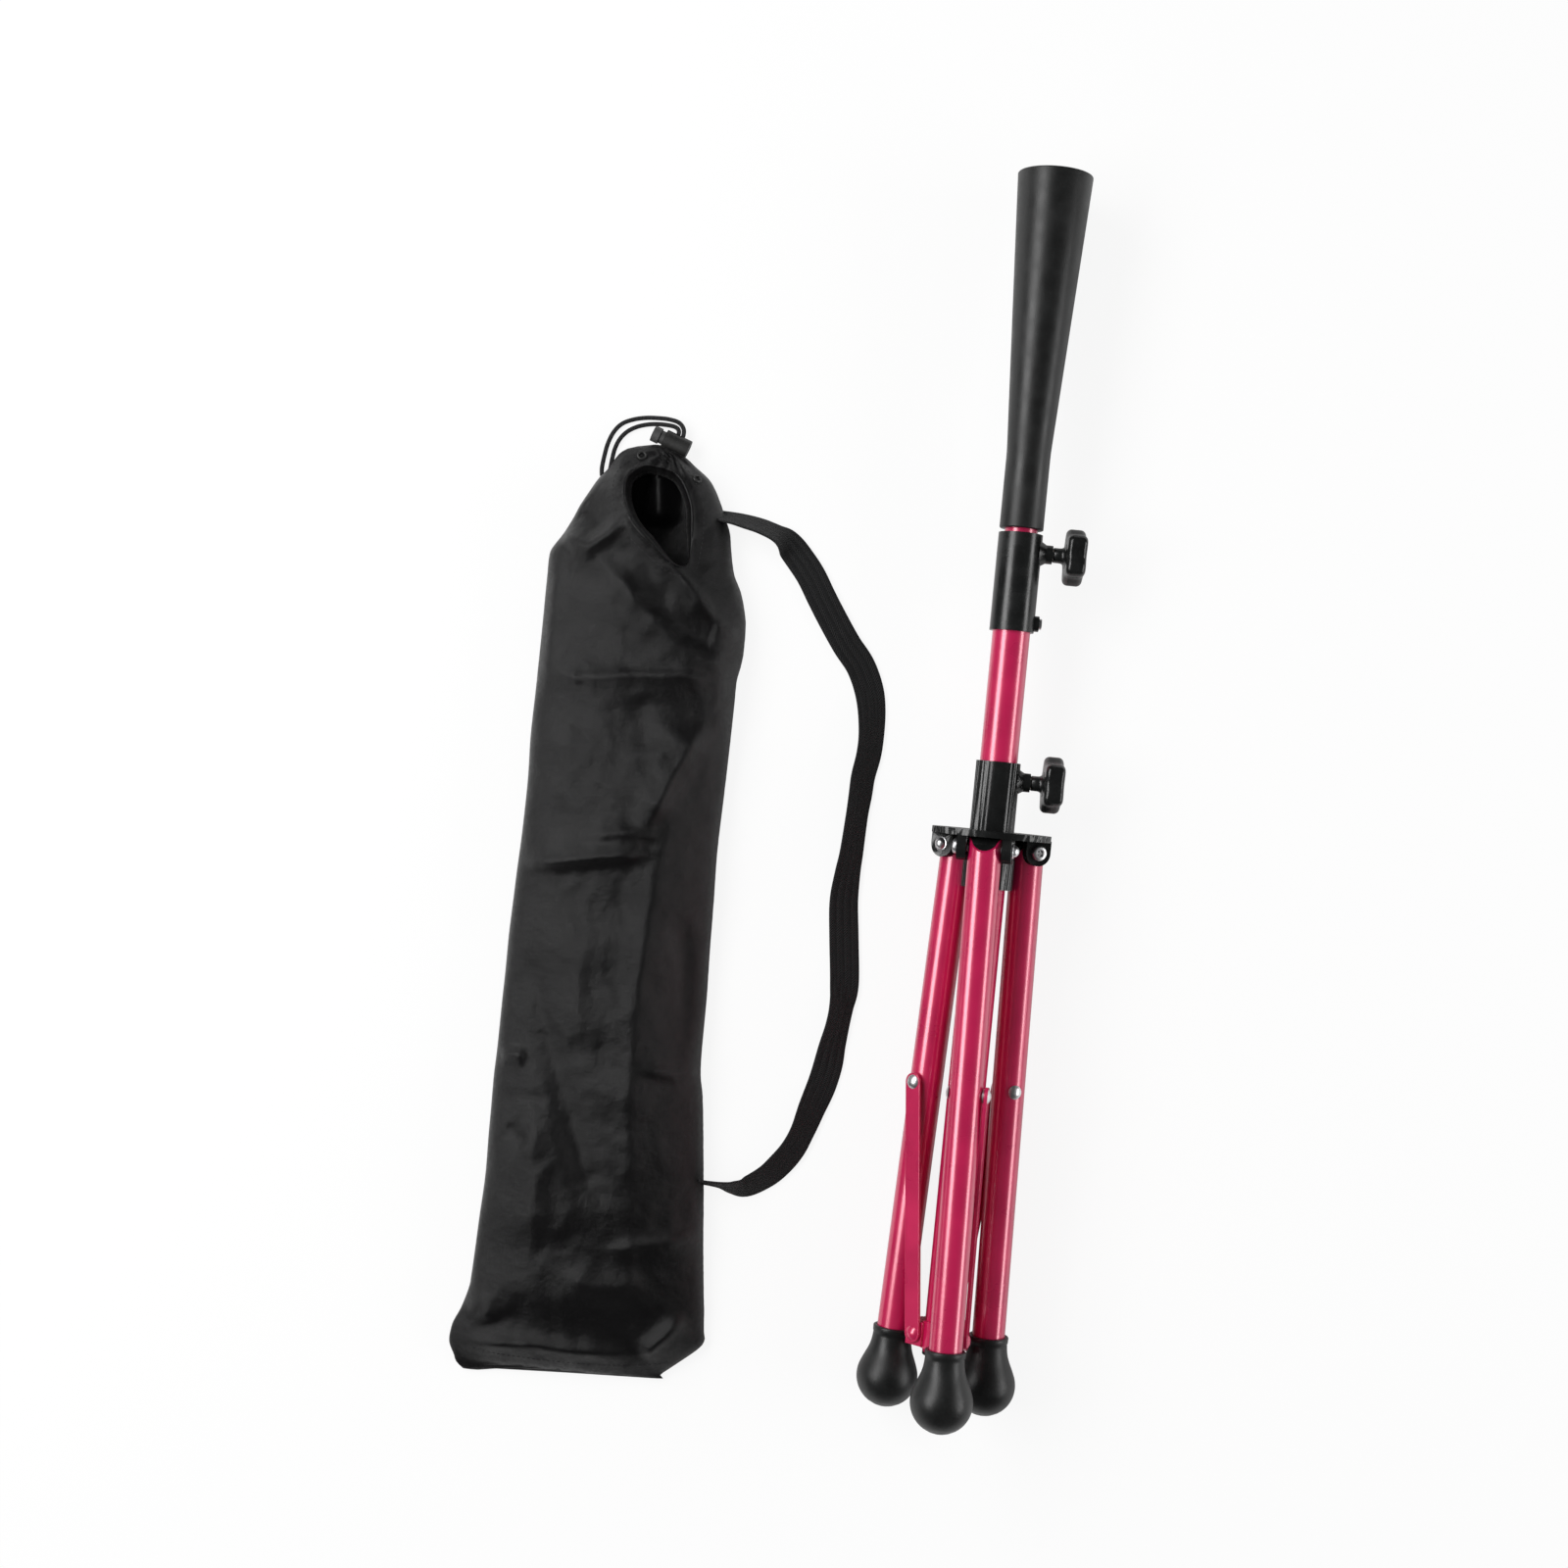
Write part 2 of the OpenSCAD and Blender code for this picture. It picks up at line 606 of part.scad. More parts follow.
module bag_back_panel() color(CLOTH) linear_extrude(height = cloth_t) polygon(concat(
    [for (s = BAG) [s[1], s[0]]],
    [for (j = [len(BAG) - 1:-1:0]) [BAG[j][2], BAG[j][0]]]
));

// Shoulder strap: X, Y and roll about its own line, lying flat where the roll is 0
STRAP = [
    [-64, 171, 66], [-54, 170, 62], [-45.5, 168.5, 58], [-34, 166, 55], [-22, 161.5, 48], [-13.5, 155, 14],
    [-6, 147, 5], [2, 137, 3], [10.5, 123, 4], [19.5, 109, 2], [30.5, 93, 3], [41, 80, 2], [48, 65.5, 4],
    [51.5, 51, 18], [53, 34, 30], [52.5, 20, 33], [50, 5, 36], [49.3, -7, 38], [48.3, -22, 42],
    [47.2, -47, 38], [46, -62, 30], [45.5, -81, 14], [48, -105, 4], [51.2, -135, 10], [50.5, -151, 34],
    [49, -165, 36], [47, -179, 25], [45.5, -193, 8], [42.5, -207, 6], [37.5, -222, 20], [32.5, -238, 33],
    [27, -251, 31], [19.5, -262, 30], [11, -271, 35], [-1.5, -279, 42], [-11, -280, 58], [-20, -279, 72],
    [-34, -278, 76]
];

function unit(v) = v / norm(v);
function near(list, i) = list[max(0, min(len(list) - 1, i))];
function flat2(p) = [p[0], p[1]];

function strap_ring(i) = let (
    s = STRAP[i],
    along = unit(flat2(near(STRAP, i + 1)) - flat2(near(STRAP, i - 1))),
    side = [-along[1], along[0], 0] * cos(s[2]) + [0, 0, 1] * sin(s[2]),
    up = [along[1], -along[0], 0] * sin(s[2]) + [0, 0, 1] * cos(s[2]),
    mid = [s[0], s[1], strap_w / 2 * sin(s[2]) + strap_t / 2 * cos(s[2])]
) [for (c = [[-1, -1], [1, -1], [1, 1], [-1, 1]]) mid + side * c[0] * strap_w / 2 + up * c[1] * strap_t / 2];

// Sweeps closed rings of equal count into one tube or ribbon.
module skin(rings) {
    m = len(rings[0]);
    n = len(rings);
    polyhedron(points = [for (r = rings) for (p = r) p], faces = concat(
        [for (j = [0:n - 2]) for (k = [0:m - 1]) each [
            [j * m + k, (j + 1) * m + k, j * m + (k + 1) % m],
            [(j + 1) * m + k, (j + 1) * m + (k + 1) % m, j * m + (k + 1) % m]]],
        [for (k = [1:m - 2]) [0, k, k + 1]],
        [for (k = [1:m - 2]) [(n - 1) * m, (n - 1) * m + k + 1, (n - 1) * m + k]]
    ));
}

module shoulder_strap() color(BLACK) skin([for (i = [0:len(STRAP) - 1]) strap_ring(i)]);

// Cord lock: place of its middle and direction of its button
lock_at = [-97.5, 216.5, lock_r];
lock_turn = 159.5;

// Drawcord strands from the hem, through the lock and round to the knot
CORD_LEFT = [
    [-104.5, 203.5, 6.5], [-101.7, 210, 6.5], [-99.1, 217.1, 6.5], [-96.8, 223.2, 6.5], [-97, 226.3, 6],
    [-99.6, 228.4, 5], [-105, 229.3, 4], [-112, 229.5, 2.4], [-119, 228.6, 1.6], [-126, 226.3, 1.6],
    [-132, 222.5, 1.6], [-136.5, 217, 1.6], [-139.2, 210, 1.6], [-140.3, 203, 1.6], [-141, 196, 2],
    [-141.6, 191, 2.8]
];
CORD_RIGHT = [
    [-101, 202.5, 6.5], [-98.5, 208.9, 6.5], [-96, 215.9, 6.5], [-93.5, 222.5, 6.5], [-93.8, 227.6, 6],
    [-97.5, 231.6, 5], [-104.5, 233.3, 4], [-113, 233.6, 2.4], [-121, 233, 1.6], [-129, 231, 1.6],
    [-136, 227.5, 1.6], [-141, 221.5, 1.6], [-144.3, 213, 1.6], [-146, 203, 1.6], [-146.6, 196, 2],
    [-146, 191, 2.8]
];

CORD_SIDES = 8;

function cord_ring(route, i) = let (
    along = unit(near(route, i + 1) - near(route, i - 1)),
    side = unit(cross(along, [0, 0, 1])),
    up = cross(side, along)
) [for (k = [0:CORD_SIDES - 1]) let (a = 360 * (k + 0.5) / CORD_SIDES)
    route[i] + cord_d / 2 * (side * cos(a) + up * sin(a))];

module cord(route) color(BLACK) skin([for (i = [0:len(route) - 1]) cord_ring(route, i)]);

// Balls that the knot is made of: place and radius
KNOT = [
    [[-145, 188, 3.6], 3.4], [[-142.4, 188, 3.6], 3.4], [[-143.8, 184.4, 3.2], 3]
];

module cord_knot() color(BLACK) hull() for (ball = KNOT) translate(ball[0]) sphere(r = ball[1], $fn = 16);

// The lock's own frame: origin at its middle, button towards +X.
module in_lock() translate(lock_at) rotate([0, 0, lock_turn]) children();

slot_half = 1.1 * cord_d;
slot_half_h = cord_d / 2 + 0.25;
lock_bore_r = lock_r - 1.9;
lock_floor = -lock_len / 2 + 2;
plunger_base = lock_floor + lock_travel + 1.8;

module cord_lock_barrel() color(BLACK) in_lock() difference() {
    along_x(lock_r, -lock_len / 2, lock_len / 2, 0);
    along_x(lock_bore_r, lock_floor, lock_len, 0);
    translate([-slot_half, -lock_len, -slot_half_h]) cube([2 * slot_half, 2 * lock_len, 2 * slot_half_h]);
}

module cord_lock_spring() color(STEEL) in_lock() difference() {
    along_x(lock_bore_r - 0.4, lock_floor, lock_floor + 1.6, 0);
    along_x(lock_bore_r - 1.4, lock_floor - 1, lock_floor + 3, 0);
}

module cord_lock_button() color([0.25, 0.25, 0.26]) in_lock() difference() {
    union() {
        along_x(lock_bore_r - run_gap, plunger_base, lock_len / 2 + lock_travel + 1, 0);
        along_x(button_d / 2, lock_len / 2 + lock_travel + 0.3, lock_len / 2 + lock_travel + 0.3 + button_h, 0);
    }
    translate([-slot_half - 0.1, -lock_len, -slot_half_h])
        cube([2 * slot_half + lock_travel + 0.3, 2 * lock_len, 2 * slot_half_h]);
}

main_tube();
upper_collar();
upper_insert();
collar_screw();
lower_hub();
brace_pins();
post_plug();
inner_tube();
cup();
inner_tube_cap();
inner_tube_bush();
hub();
hub_insert();
leg_bolts();
leg_nuts();
leg_tube(FRONT);  // front_leg_tube
leg_plug(FRONT);  // front_leg_plug
foot(FRONT);  // front_foot
leg_rivet(FRONT);  // front_leg_rivet
leg_tube(RIGHT);  // right_leg_tube
leg_plug(RIGHT);  // right_leg_plug
foot(RIGHT);  // right_foot
leg_rivet(RIGHT);  // right_leg_rivet
leg_tube(LEFT);  // left_leg_tube
leg_plug(LEFT);  // left_leg_plug
foot(LEFT);  // left_foot
leg_rivet(LEFT);  // left_leg_rivet
brace(FRONT);  // front_brace
brace_rivet(FRONT);  // front_brace_rivet
brace(RIGHT);  // right_brace
brace_rivet(RIGHT);  // right_brace_rivet
brace(LEFT);  // left_brace
brace_rivet(LEFT);  // left_brace_rivet
knob(upper_knob_h);  // upper_knob
clamp_screw(upper_knob_h, riser_r);  // upper_clamp_screw
knob(lower_knob_h);  // lower_knob
clamp_screw(lower_knob_h, post_r);  // lower_clamp_screw
bag_back_panel();
bag_front_panel();
shoulder_strap();
cord(CORD_LEFT);  // cord_left
cord(CORD_RIGHT);  // cord_right
cord_knot();
cord_lock_barrel();
cord_lock_spring();
cord_lock_button();
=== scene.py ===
"""Looks of a tripod batting tee, folded flat, and of the drawstring bag that carries it.

Sizes are in millimetres unless a name says otherwise, and meshes are made in metres.
"""

from __future__ import annotations

import json
import logging
import math
from dataclasses import dataclass, field
from enum import Enum
from typing import Any, Callable, Sequence

import bmesh
import bpy
import numpy as np
from mathutils import Matrix, Vector, noise

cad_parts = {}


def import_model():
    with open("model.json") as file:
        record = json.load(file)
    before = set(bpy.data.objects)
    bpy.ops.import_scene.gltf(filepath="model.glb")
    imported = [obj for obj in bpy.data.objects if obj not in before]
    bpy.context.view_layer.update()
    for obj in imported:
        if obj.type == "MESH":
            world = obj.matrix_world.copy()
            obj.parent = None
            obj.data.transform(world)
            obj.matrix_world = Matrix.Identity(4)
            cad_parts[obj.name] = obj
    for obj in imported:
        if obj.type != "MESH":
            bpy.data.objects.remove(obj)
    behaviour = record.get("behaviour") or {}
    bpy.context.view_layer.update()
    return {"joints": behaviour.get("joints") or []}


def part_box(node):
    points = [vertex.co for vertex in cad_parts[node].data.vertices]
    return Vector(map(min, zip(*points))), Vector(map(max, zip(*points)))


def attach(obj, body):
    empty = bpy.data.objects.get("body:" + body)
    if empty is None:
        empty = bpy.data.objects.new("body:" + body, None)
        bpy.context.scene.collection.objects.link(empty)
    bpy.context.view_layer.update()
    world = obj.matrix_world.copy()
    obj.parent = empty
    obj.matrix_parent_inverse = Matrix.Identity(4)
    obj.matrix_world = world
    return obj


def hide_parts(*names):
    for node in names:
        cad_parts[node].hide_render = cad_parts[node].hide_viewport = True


LOG = logging.getLogger("batting_tee")
MM = 0.001
FULL_TURN = 2 * math.pi
SAME_PLACE = 0.002 * MM
MOST_CORNERS = 100

Colour = tuple[float, float, float]
Point = tuple[float, float]
Places = Sequence[Sequence[float]]
Track = tuple[tuple[float, float, float], ...]
Height = Callable[[float, float], float]
Shape = bmesh.types.BMesh
Socket = bpy.types.NodeSocket


# ---------------------------------------------------------------- finishes


class ShaderGraph:
    """One material's node tree, with short calls that add and join its nodes."""

    def __init__(self, name: str) -> None:
        """Starts a material of that name around its Principled shader."""
        self.material = bpy.data.materials.new(name)
        self.material.use_nodes = True
        self.tree = self.material.node_tree
        self.shader = self.tree.nodes["Principled BSDF"]
        self.place = self.tree.nodes.new("ShaderNodeTexCoord")

    def feed(self, socket: Socket, value: Any) -> None:
        """Joins a socket to another, or sets its own value."""
        if isinstance(value, Socket):
            self.tree.links.new(value, socket)
        else:
            socket.default_value = value

    def add(self, kind: str, inputs: dict[str | int, Any], **settings: Any) -> bpy.types.Node:
        """Adds a shader node.

        Args:
            kind: The node's type without its ShaderNode prefix.
            inputs: Values or sockets for its inputs, by name or number.
            settings: The node's own properties.

        Returns:
            The new node.
        """
        node = self.tree.nodes.new("ShaderNode" + kind)
        for name, value in settings.items():
            setattr(node, name, value)
        for name, value in inputs.items():
            self.feed(node.inputs[name], value)
        return node

    def shade(self, inputs: dict[str, Any]) -> None:
        """Sets inputs of the Principled shader."""
        for name, value in inputs.items():
            self.feed(self.shader.inputs[name], value)

    def solid(self) -> Socket:
        """Place in the object's own space, in metres."""
        return self.place.outputs["Object"]

    def surface(self) -> Socket:
        """Place on the surface, from the piece's own map."""
        return self.place.outputs["UV"]

    def cloud(self, where: Socket, scale: float, detail: float = 2.0) -> Socket:
        """Soft noise between 0 and 1."""
        return self.add("TexNoise", {"Vector": where, "Scale": scale, "Detail": detail}).outputs[0]

    def math(self, operation: str, a: Any, b: Any = 0.0) -> Socket:
        """One sum of two numbers or sockets."""
        return self.add("Math", {0: a, 1: b}, operation=operation).outputs[0]

    def ripple(self, value: Socket, period: float) -> Socket:
        """A sine wave of that period, between -1 and 1."""
        return self.math("SINE", self.math("MULTIPLY", value, FULL_TURN / period))

    def span(self, value: Socket, low: float, high: float) -> Socket:
        """Stretches the middle of a noise to run from low to high."""
        inputs = {"Value": value, "From Min": 0.3, "From Max": 0.7, "To Min": low, "To Max": high}
        return self.add("MapRange", inputs).outputs[0]

    def mix(self, factor: Any, a: Any, b: Any) -> Socket:
        """A blend of two colours."""
        node = self.add("Mix", {0: factor}, data_type="RGBA")
        self.feed(node.inputs[6], a)
        self.feed(node.inputs[7], b)
        return node.outputs[2]

    def bump(self, height: Any, depth: float, over: Any = None) -> Socket:
        """A bumped normal, depth in metres, over another bump where one is given."""
        inputs: dict[str | int, Any] = {"Height": height, "Distance": depth, "Strength": 1.0}
        if over is not None:
            inputs["Normal"] = over
        return self.add("Bump", inputs).outputs[0]


def opaque(colour: Colour, share: float = 1.0) -> tuple[float, float, float, float]:
    """A colour, lightened or darkened by a share, as four numbers."""
    return tuple(min(1.0, part * share) for part in colour) + (1.0,)


@dataclass(frozen=True)
class Finish:
    """What every finish shares: its name, the record's slot, its colour and its roughness."""

    name: str
    slot: str
    colour: Colour
    roughness: float

    def material(self) -> bpy.types.Material:
        """The finish's material, made once."""
        made = bpy.data.materials.get(self.name)
        if made is None:
            graph = ShaderGraph(self.name)
            self.dress(graph)
            made = graph.material
        return made

    def dress(self, graph: ShaderGraph) -> None:
        """Fills the material's nodes."""
        raise NotImplementedError

    def varied(self, graph: ShaderGraph, noise_value: Socket, spread: float) -> Socket:
        """The colour, lighter and darker by a share as a noise goes."""
        factor = graph.span(noise_value, 0.0, 1.0)
        return graph.mix(factor, opaque(self.colour, 1 - spread), opaque(self.colour, 1 + spread))


@dataclass(frozen=True)
class PowderCoat(Finish):
    """Glossy metallic powder coat with a slight orange peel."""

    metallic: float = 0.2
    coat: float = 1.0

    def dress(self, graph: ShaderGraph) -> None:
        """Fills the material's nodes."""
        cloud = graph.cloud(graph.solid(), 35, 3)
        peel = graph.cloud(graph.solid(), 1300, 2)
        graph.shade({
            "Base Color": self.varied(graph, cloud, 0.10),
            "Metallic": self.metallic,
            "Roughness": graph.span(cloud, self.roughness - 0.04, self.roughness + 0.04),
            "Coat Weight": self.coat,
            "Coat Roughness": 0.22,
            "Coat IOR": 1.7,
            "Normal": graph.bump(peel, 0.00004),
        })


@dataclass(frozen=True)
class Moulded(Finish):
    """Moulded plastic or rubber: a fine grain, handling marks and a little dust."""

    grain: float = 1500
    grain_depth: float = 0.00005
    dust: float = 0.25

    def dress(self, graph: ShaderGraph) -> None:
        """Fills the material's nodes."""
        where = graph.solid()
        marks = graph.cloud(where, 70, 7)
        specks = graph.cloud(where, 520, 3)
        grain = graph.cloud(where, self.grain, 2)
        base = self.varied(graph, marks, self.dust)
        lit = graph.mix(graph.span(specks, -0.5, 0.35), base, opaque(self.colour, 2.2))
        graph.shade({
            "Base Color": lit,
            "Roughness": graph.span(marks, self.roughness - 0.06, self.roughness + 0.07),
            "Normal": graph.bump(marks, 0.00012, graph.bump(grain, self.grain_depth)),
        })


@dataclass(frozen=True)
class Plated(Finish):
    """Bright plated or turned metal with fine wiped scratches."""

    stretch: float = 14.0

    def dress(self, graph: ShaderGraph) -> None:
        """Fills the material's nodes."""
        place = graph.add("Mapping", {"Vector": graph.solid(), "Scale": (1.0, self.stretch, 1.0)})
        wiped = graph.cloud(place.outputs[0], 240, 5)
        cloud = graph.cloud(graph.solid(), 320, 3)
        graph.shade({
            "Base Color": self.varied(graph, cloud, 0.10),
            "Metallic": 1.0,
            "Roughness": graph.span(wiped, self.roughness - 0.07, self.roughness + 0.10),
            "Normal": graph.bump(wiped, 0.00002),
        })


@dataclass(frozen=True)
class WovenNylon(Finish):
    """Plain-woven nylon with a dull sheen and fine crumples."""

    thread: float = 0.0006
    sheen: float = 0.04
    gloss: float = 0.27

    def dress(self, graph: ShaderGraph) -> None:
        """Fills the material's nodes."""
        uv = graph.surface()
        split = graph.add("SeparateXYZ", {"Vector": uv})
        warp = graph.ripple(split.outputs[0], self.thread)
        weft = graph.ripple(split.outputs[1], self.thread)
        weave = graph.math("MULTIPLY", warp, weft)
        tone = graph.cloud(uv, 14, 4)
        crumple = graph.cloud(uv, 55, 7)
        slubs = graph.cloud(uv, 420, 2)
        soft = graph.bump(crumple, 0.0016)
        graph.shade({
            "Base Color": self.varied(graph, tone, 0.22),
            "Roughness": graph.span(slubs, self.roughness - 0.05, self.roughness + 0.06),
            "Specular IOR Level": self.gloss,
            "Sheen Weight": self.sheen,
            "Sheen Roughness": 0.4,
            "Normal": graph.bump(weave, 0.00004, soft),
        })


@dataclass(frozen=True)
class WebbingWeave(Finish):
    """Heavy webbing with chevron ribs, with painted shade in the grooves and painted highlights on the rib
    crests.
    """

    rib: float = 0.0017
    wale: float = 0.0050

    def dress(self, graph: ShaderGraph) -> None:
        """Fills the material's nodes."""
        uv = graph.surface()
        split = graph.add("SeparateXYZ", {"Vector": uv})
        slant = graph.math("PINGPONG", split.outputs[0], self.wale / 2)
        along = graph.math("ADD", split.outputs[1], slant)
        ribs = graph.ripple(along, self.rib)
        wales = graph.math("ABSOLUTE", graph.ripple(split.outputs[0], self.wale))
        height = graph.math("ADD", ribs, graph.math("MULTIPLY", wales, 0.8))
        fuzz = graph.cloud(uv, 260, 5)
        tone = self.varied(graph, fuzz, 0.3)
        # The colour follows the rib height: painted shade in the grooves and painted highlights on the rib
        # crests.
        groove = graph.math("MULTIPLY_ADD", ribs, 0.35)
        graph.shade({
            "Base Color": graph.mix(groove, tone, opaque(self.colour, 1.9)),
            "Roughness": graph.span(fuzz, self.roughness - 0.05, self.roughness + 0.08),
            "Specular IOR Level": 0.25,
            "Sheen Weight": 0.05,
            "Normal": graph.bump(height, 0.00022, graph.bump(fuzz, 0.0003)),
        })


@dataclass(frozen=True)
class CordBraid(Finish):
    """Round braided cord, mapped as turns around and metres along, with painted highlights on the strand
    crests.
    """

    strands: float = 6.0
    lay_length: float = 0.0052

    def dress(self, graph: ShaderGraph) -> None:
        """Fills the material's nodes."""
        split = graph.add("SeparateXYZ", {"Vector": graph.surface()})
        turns = graph.math("MULTIPLY", split.outputs[0], self.strands)
        laid = graph.math("DIVIDE", split.outputs[1], self.lay_length)
        right_hand = graph.ripple(graph.math("ADD", turns, laid), 1.0)
        left_hand = graph.ripple(graph.math("SUBTRACT", turns, laid), 1.0)
        braid = graph.math("MAXIMUM", right_hand, left_hand)
        fuzz = graph.cloud(graph.solid(), 900, 3)
        tone = self.varied(graph, fuzz, 0.3)
        # The colour lightens with the braid's height: painted highlights on the strand crests, with the
        # base tone left as painted shade between strands.
        graph.shade({
            "Base Color": graph.mix(graph.math("MULTIPLY", braid, 0.4), tone, opaque(self.colour, 2.4)),
            "Roughness": self.roughness,
            "Specular IOR Level": 0.3,
            "Sheen Weight": 0.05,
            "Normal": graph.bump(braid, 0.00025, graph.bump(fuzz, 0.0001)),
        })


CRIMSON = PowderCoat("crimson_coat", "red_paint", (0.58, 0.006, 0.085), 0.30)
BLACK_MOULDING = Moulded("black_moulding", "black_plastic", (0.0075, 0.008, 0.008), 0.24)
BLACK_RUBBER = Moulded(
    "black_moulded_rubber", "black_rubber", (0.0078, 0.0082, 0.0082), 0.40, grain_depth=0.00008
)
LOCK_MOULDING = Moulded("lock_moulding", "grey_plastic", (0.050, 0.050, 0.050), 0.42)
BARREL_MOULDING = Moulded("barrel_moulding", "black_plastic", (0.016, 0.016, 0.0155), 0.42)
PALE_MOULDING = Moulded("pale_moulding", "white_plastic", (0.72, 0.71, 0.68), 0.45, dust=0.05)
BRIGHT_ZINC = Plated("bright_zinc", "steel", (0.80, 0.80, 0.81), 0.34)
TURNED_BRASS = Plated("turned_brass", "brass", (0.66, 0.47, 0.19), 0.28)
BAG_NYLON = WovenNylon("bag_nylon", "bag_cloth", (0.0036, 0.0034, 0.0037), 0.35)
STRAP_WEBBING = WebbingWeave("strap_webbing", "webbing", (0.0065, 0.0066, 0.007), 0.66)
DRAW_BRAID = CordBraid("draw_braid", "cord", (0.010, 0.010, 0.011), 0.6)
SEWING_THREAD = CordBraid(
    "sewing_thread", "bag_cloth", (0.013, 0.013, 0.0135), 0.6, strands=2.0, lay_length=0.0012
)


# ---------------------------------------------------------------- shared shapes


def piece(
    name: str,
    shape: Shape,
    finish: Finish,
    body: str,
    stands_for: Sequence[str] = (),
    sharp_above: float = 38.0,
) -> bpy.types.Object:
    """Makes a finished piece from a shape.

    Args:
        name: The piece's name.
        shape: Its mesh in the set's own frame. It is freed.
        finish: Its finish.
        body: The CAD body that it rides on.
        stands_for: The CAD nodes that it replaces.
        sharp_above: Edges that turn more than these degrees stay sharp.

    Returns:
        The new object.
    """
    mesh = bpy.data.meshes.new(name)
    shape.to_mesh(mesh)
    shape.free()
    mesh.shade_smooth()
    mesh.set_sharp_from_angle(angle=math.radians(sharp_above))
    made = bpy.data.objects.new(name, mesh)
    bpy.context.scene.collection.objects.link(made)
    mesh.materials.append(finish.material())
    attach(made, body)
    if stands_for:
        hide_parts(*stands_for)
    LOG.info("%s rides on %s, %d faces", name, body, len(mesh.polygons))
    return made


def dress_nodes(finish: Finish, nodes: Sequence[str]) -> None:
    """Gives CAD nodes that stay in view their material."""
    for name in nodes:
        slots = bpy.data.objects[name].data.materials
        slots.clear()
        slots.append(finish.material())
        LOG.info("%s keeps its shape in %s", name, finish.name)


def apply_modifiers(made: bpy.types.Object) -> None:
    """Turns an object's modifiers into mesh."""
    graph = bpy.context.evaluated_depsgraph_get()
    graph.update()
    mesh = bpy.data.meshes.new_from_object(made.evaluated_get(graph))
    made.modifiers.clear()
    made.data = mesh


def ease(shape: Shape, width: float, angle: float = 30.0, segments: int = 2) -> None:
    """Bevels every edge that turns more than angle degrees by width."""
    limit = math.radians(angle)
    edges = [e for e in shape.edges if e.is_manifold and e.calc_face_angle(0.0) > limit]
    bmesh.ops.bevel(
        shape, geom=edges, offset=width * MM, segments=segments, profile=0.5,
        affect="EDGES", clamp_overlap=True, material=-1,
    )


def merge_flat(shape: Shape, angle: float) -> None:
    """Merges neighbouring faces that turn less than angle degrees."""
    bmesh.ops.dissolve_limit(shape, angle_limit=math.radians(angle), verts=shape.verts, edges=shape.edges)


def eased_copy(node: str, width: float, finish: Finish, body: str) -> bpy.types.Object:
    """A copy of a CAD node with its sharp edges rounded.

    Faces with very many corners may have a hole, which rounding would twist, so they are split while
    their edges are rounded and merged again afterwards.

    Args:
        node: The CAD node, which the copy replaces.
        width: Width of the rounded edges.
        finish: The copy's finish.
        body: The CAD body that it rides on.

    Returns:
        The new object.
    """
    shape = bmesh.new()
    shape.from_mesh(bpy.data.objects[node].data)
    bmesh.ops.remove_doubles(shape, verts=shape.verts, dist=SAME_PLACE)
    merge_flat(shape, 0.6)
    bmesh.ops.triangulate(shape, faces=[face for face in shape.faces if len(face.verts) > MOST_CORNERS])
    ease(shape, width)
    merge_flat(shape, 0.2)
    made = piece(f"{node}_moulding", shape, finish, body, [node])
    weighted = made.modifiers.new("even_shading", "WEIGHTED_NORMAL")
    weighted.keep_sharp = True
    return made


def turned(profile: Sequence[Point], closed: bool = False, steps: int = 72) -> Shape:
    """A shape turned about the Z axis.

    Args:
        profile: Radius and height of each point, in millimetres.
        closed: Whether the profile joins up with itself, as a ring's does.
        steps: Number of faces around.

    Returns:
        The turned shape, its faces outward.
    """
    shape = bmesh.new()
    verts = [shape.verts.new((radius * MM, 0, height * MM)) for radius, height in profile]
    pairs = list(zip(verts, verts[1:])) + ([(verts[-1], verts[0])] if closed else [])
    edges = [shape.edges.new(pair) for pair in pairs]
    bmesh.ops.spin(
        shape, geom=verts + edges, cent=(0, 0, 0), axis=(0, 0, 1), angle=FULL_TURN, steps=steps,
        use_merge=True,
    )
    bmesh.ops.remove_doubles(shape, verts=shape.verts, dist=0.001 * MM)
    bmesh.ops.recalc_face_normals(shape, faces=shape.faces)
    return shape


def joined(shapes: Sequence[Shape]) -> Shape:
    """Several shapes as one, which keeps none of them."""
    whole = bmesh.new()
    for shape in shapes:
        part = bpy.data.meshes.new("part")
        shape.to_mesh(part)
        shape.free()
        whole.from_mesh(part)
        bpy.data.meshes.remove(part)
    return whole


def arc(centre: Point, radius: float, start: float, end: float, count: int) -> list[Point]:
    """Points along an arc, from one angle in degrees to another."""
    angles = [math.radians(start + (end - start) * i / (count - 1)) for i in range(count)]
    return [(centre[0] + radius * math.cos(a), centre[1] + radius * math.sin(a)) for a in angles]


def smooth_track(points: Places, count: int, closed: bool = False) -> np.ndarray:
    """Evenly counted samples of a smooth curve through points of any dimension.

    Args:
        points: The points that the curve runs through.
        count: Number of samples.
        closed: Whether the curve joins up with itself.

    Returns:
        One row a sample.
    """
    given = np.array(points, float)
    size = len(given)
    spans = size if closed else size - 1
    rows = []
    for sample in np.linspace(0, spans, count, endpoint=not closed):
        i = min(int(sample), spans - 1)
        t = sample - i
        picks = [(i + k) % size if closed else min(max(i + k, 0), size - 1) for k in (-1, 0, 1, 2)]
        a, b, c, d = (given[k] for k in picks)
        slope, bend, twist = c - a, 2 * a - 5 * b + 4 * c - d, 3 * b - a - 3 * c + d
        rows.append(0.5 * (2 * b + slope * t + bend * t**2 + twist * t**3))
    return np.array(rows)


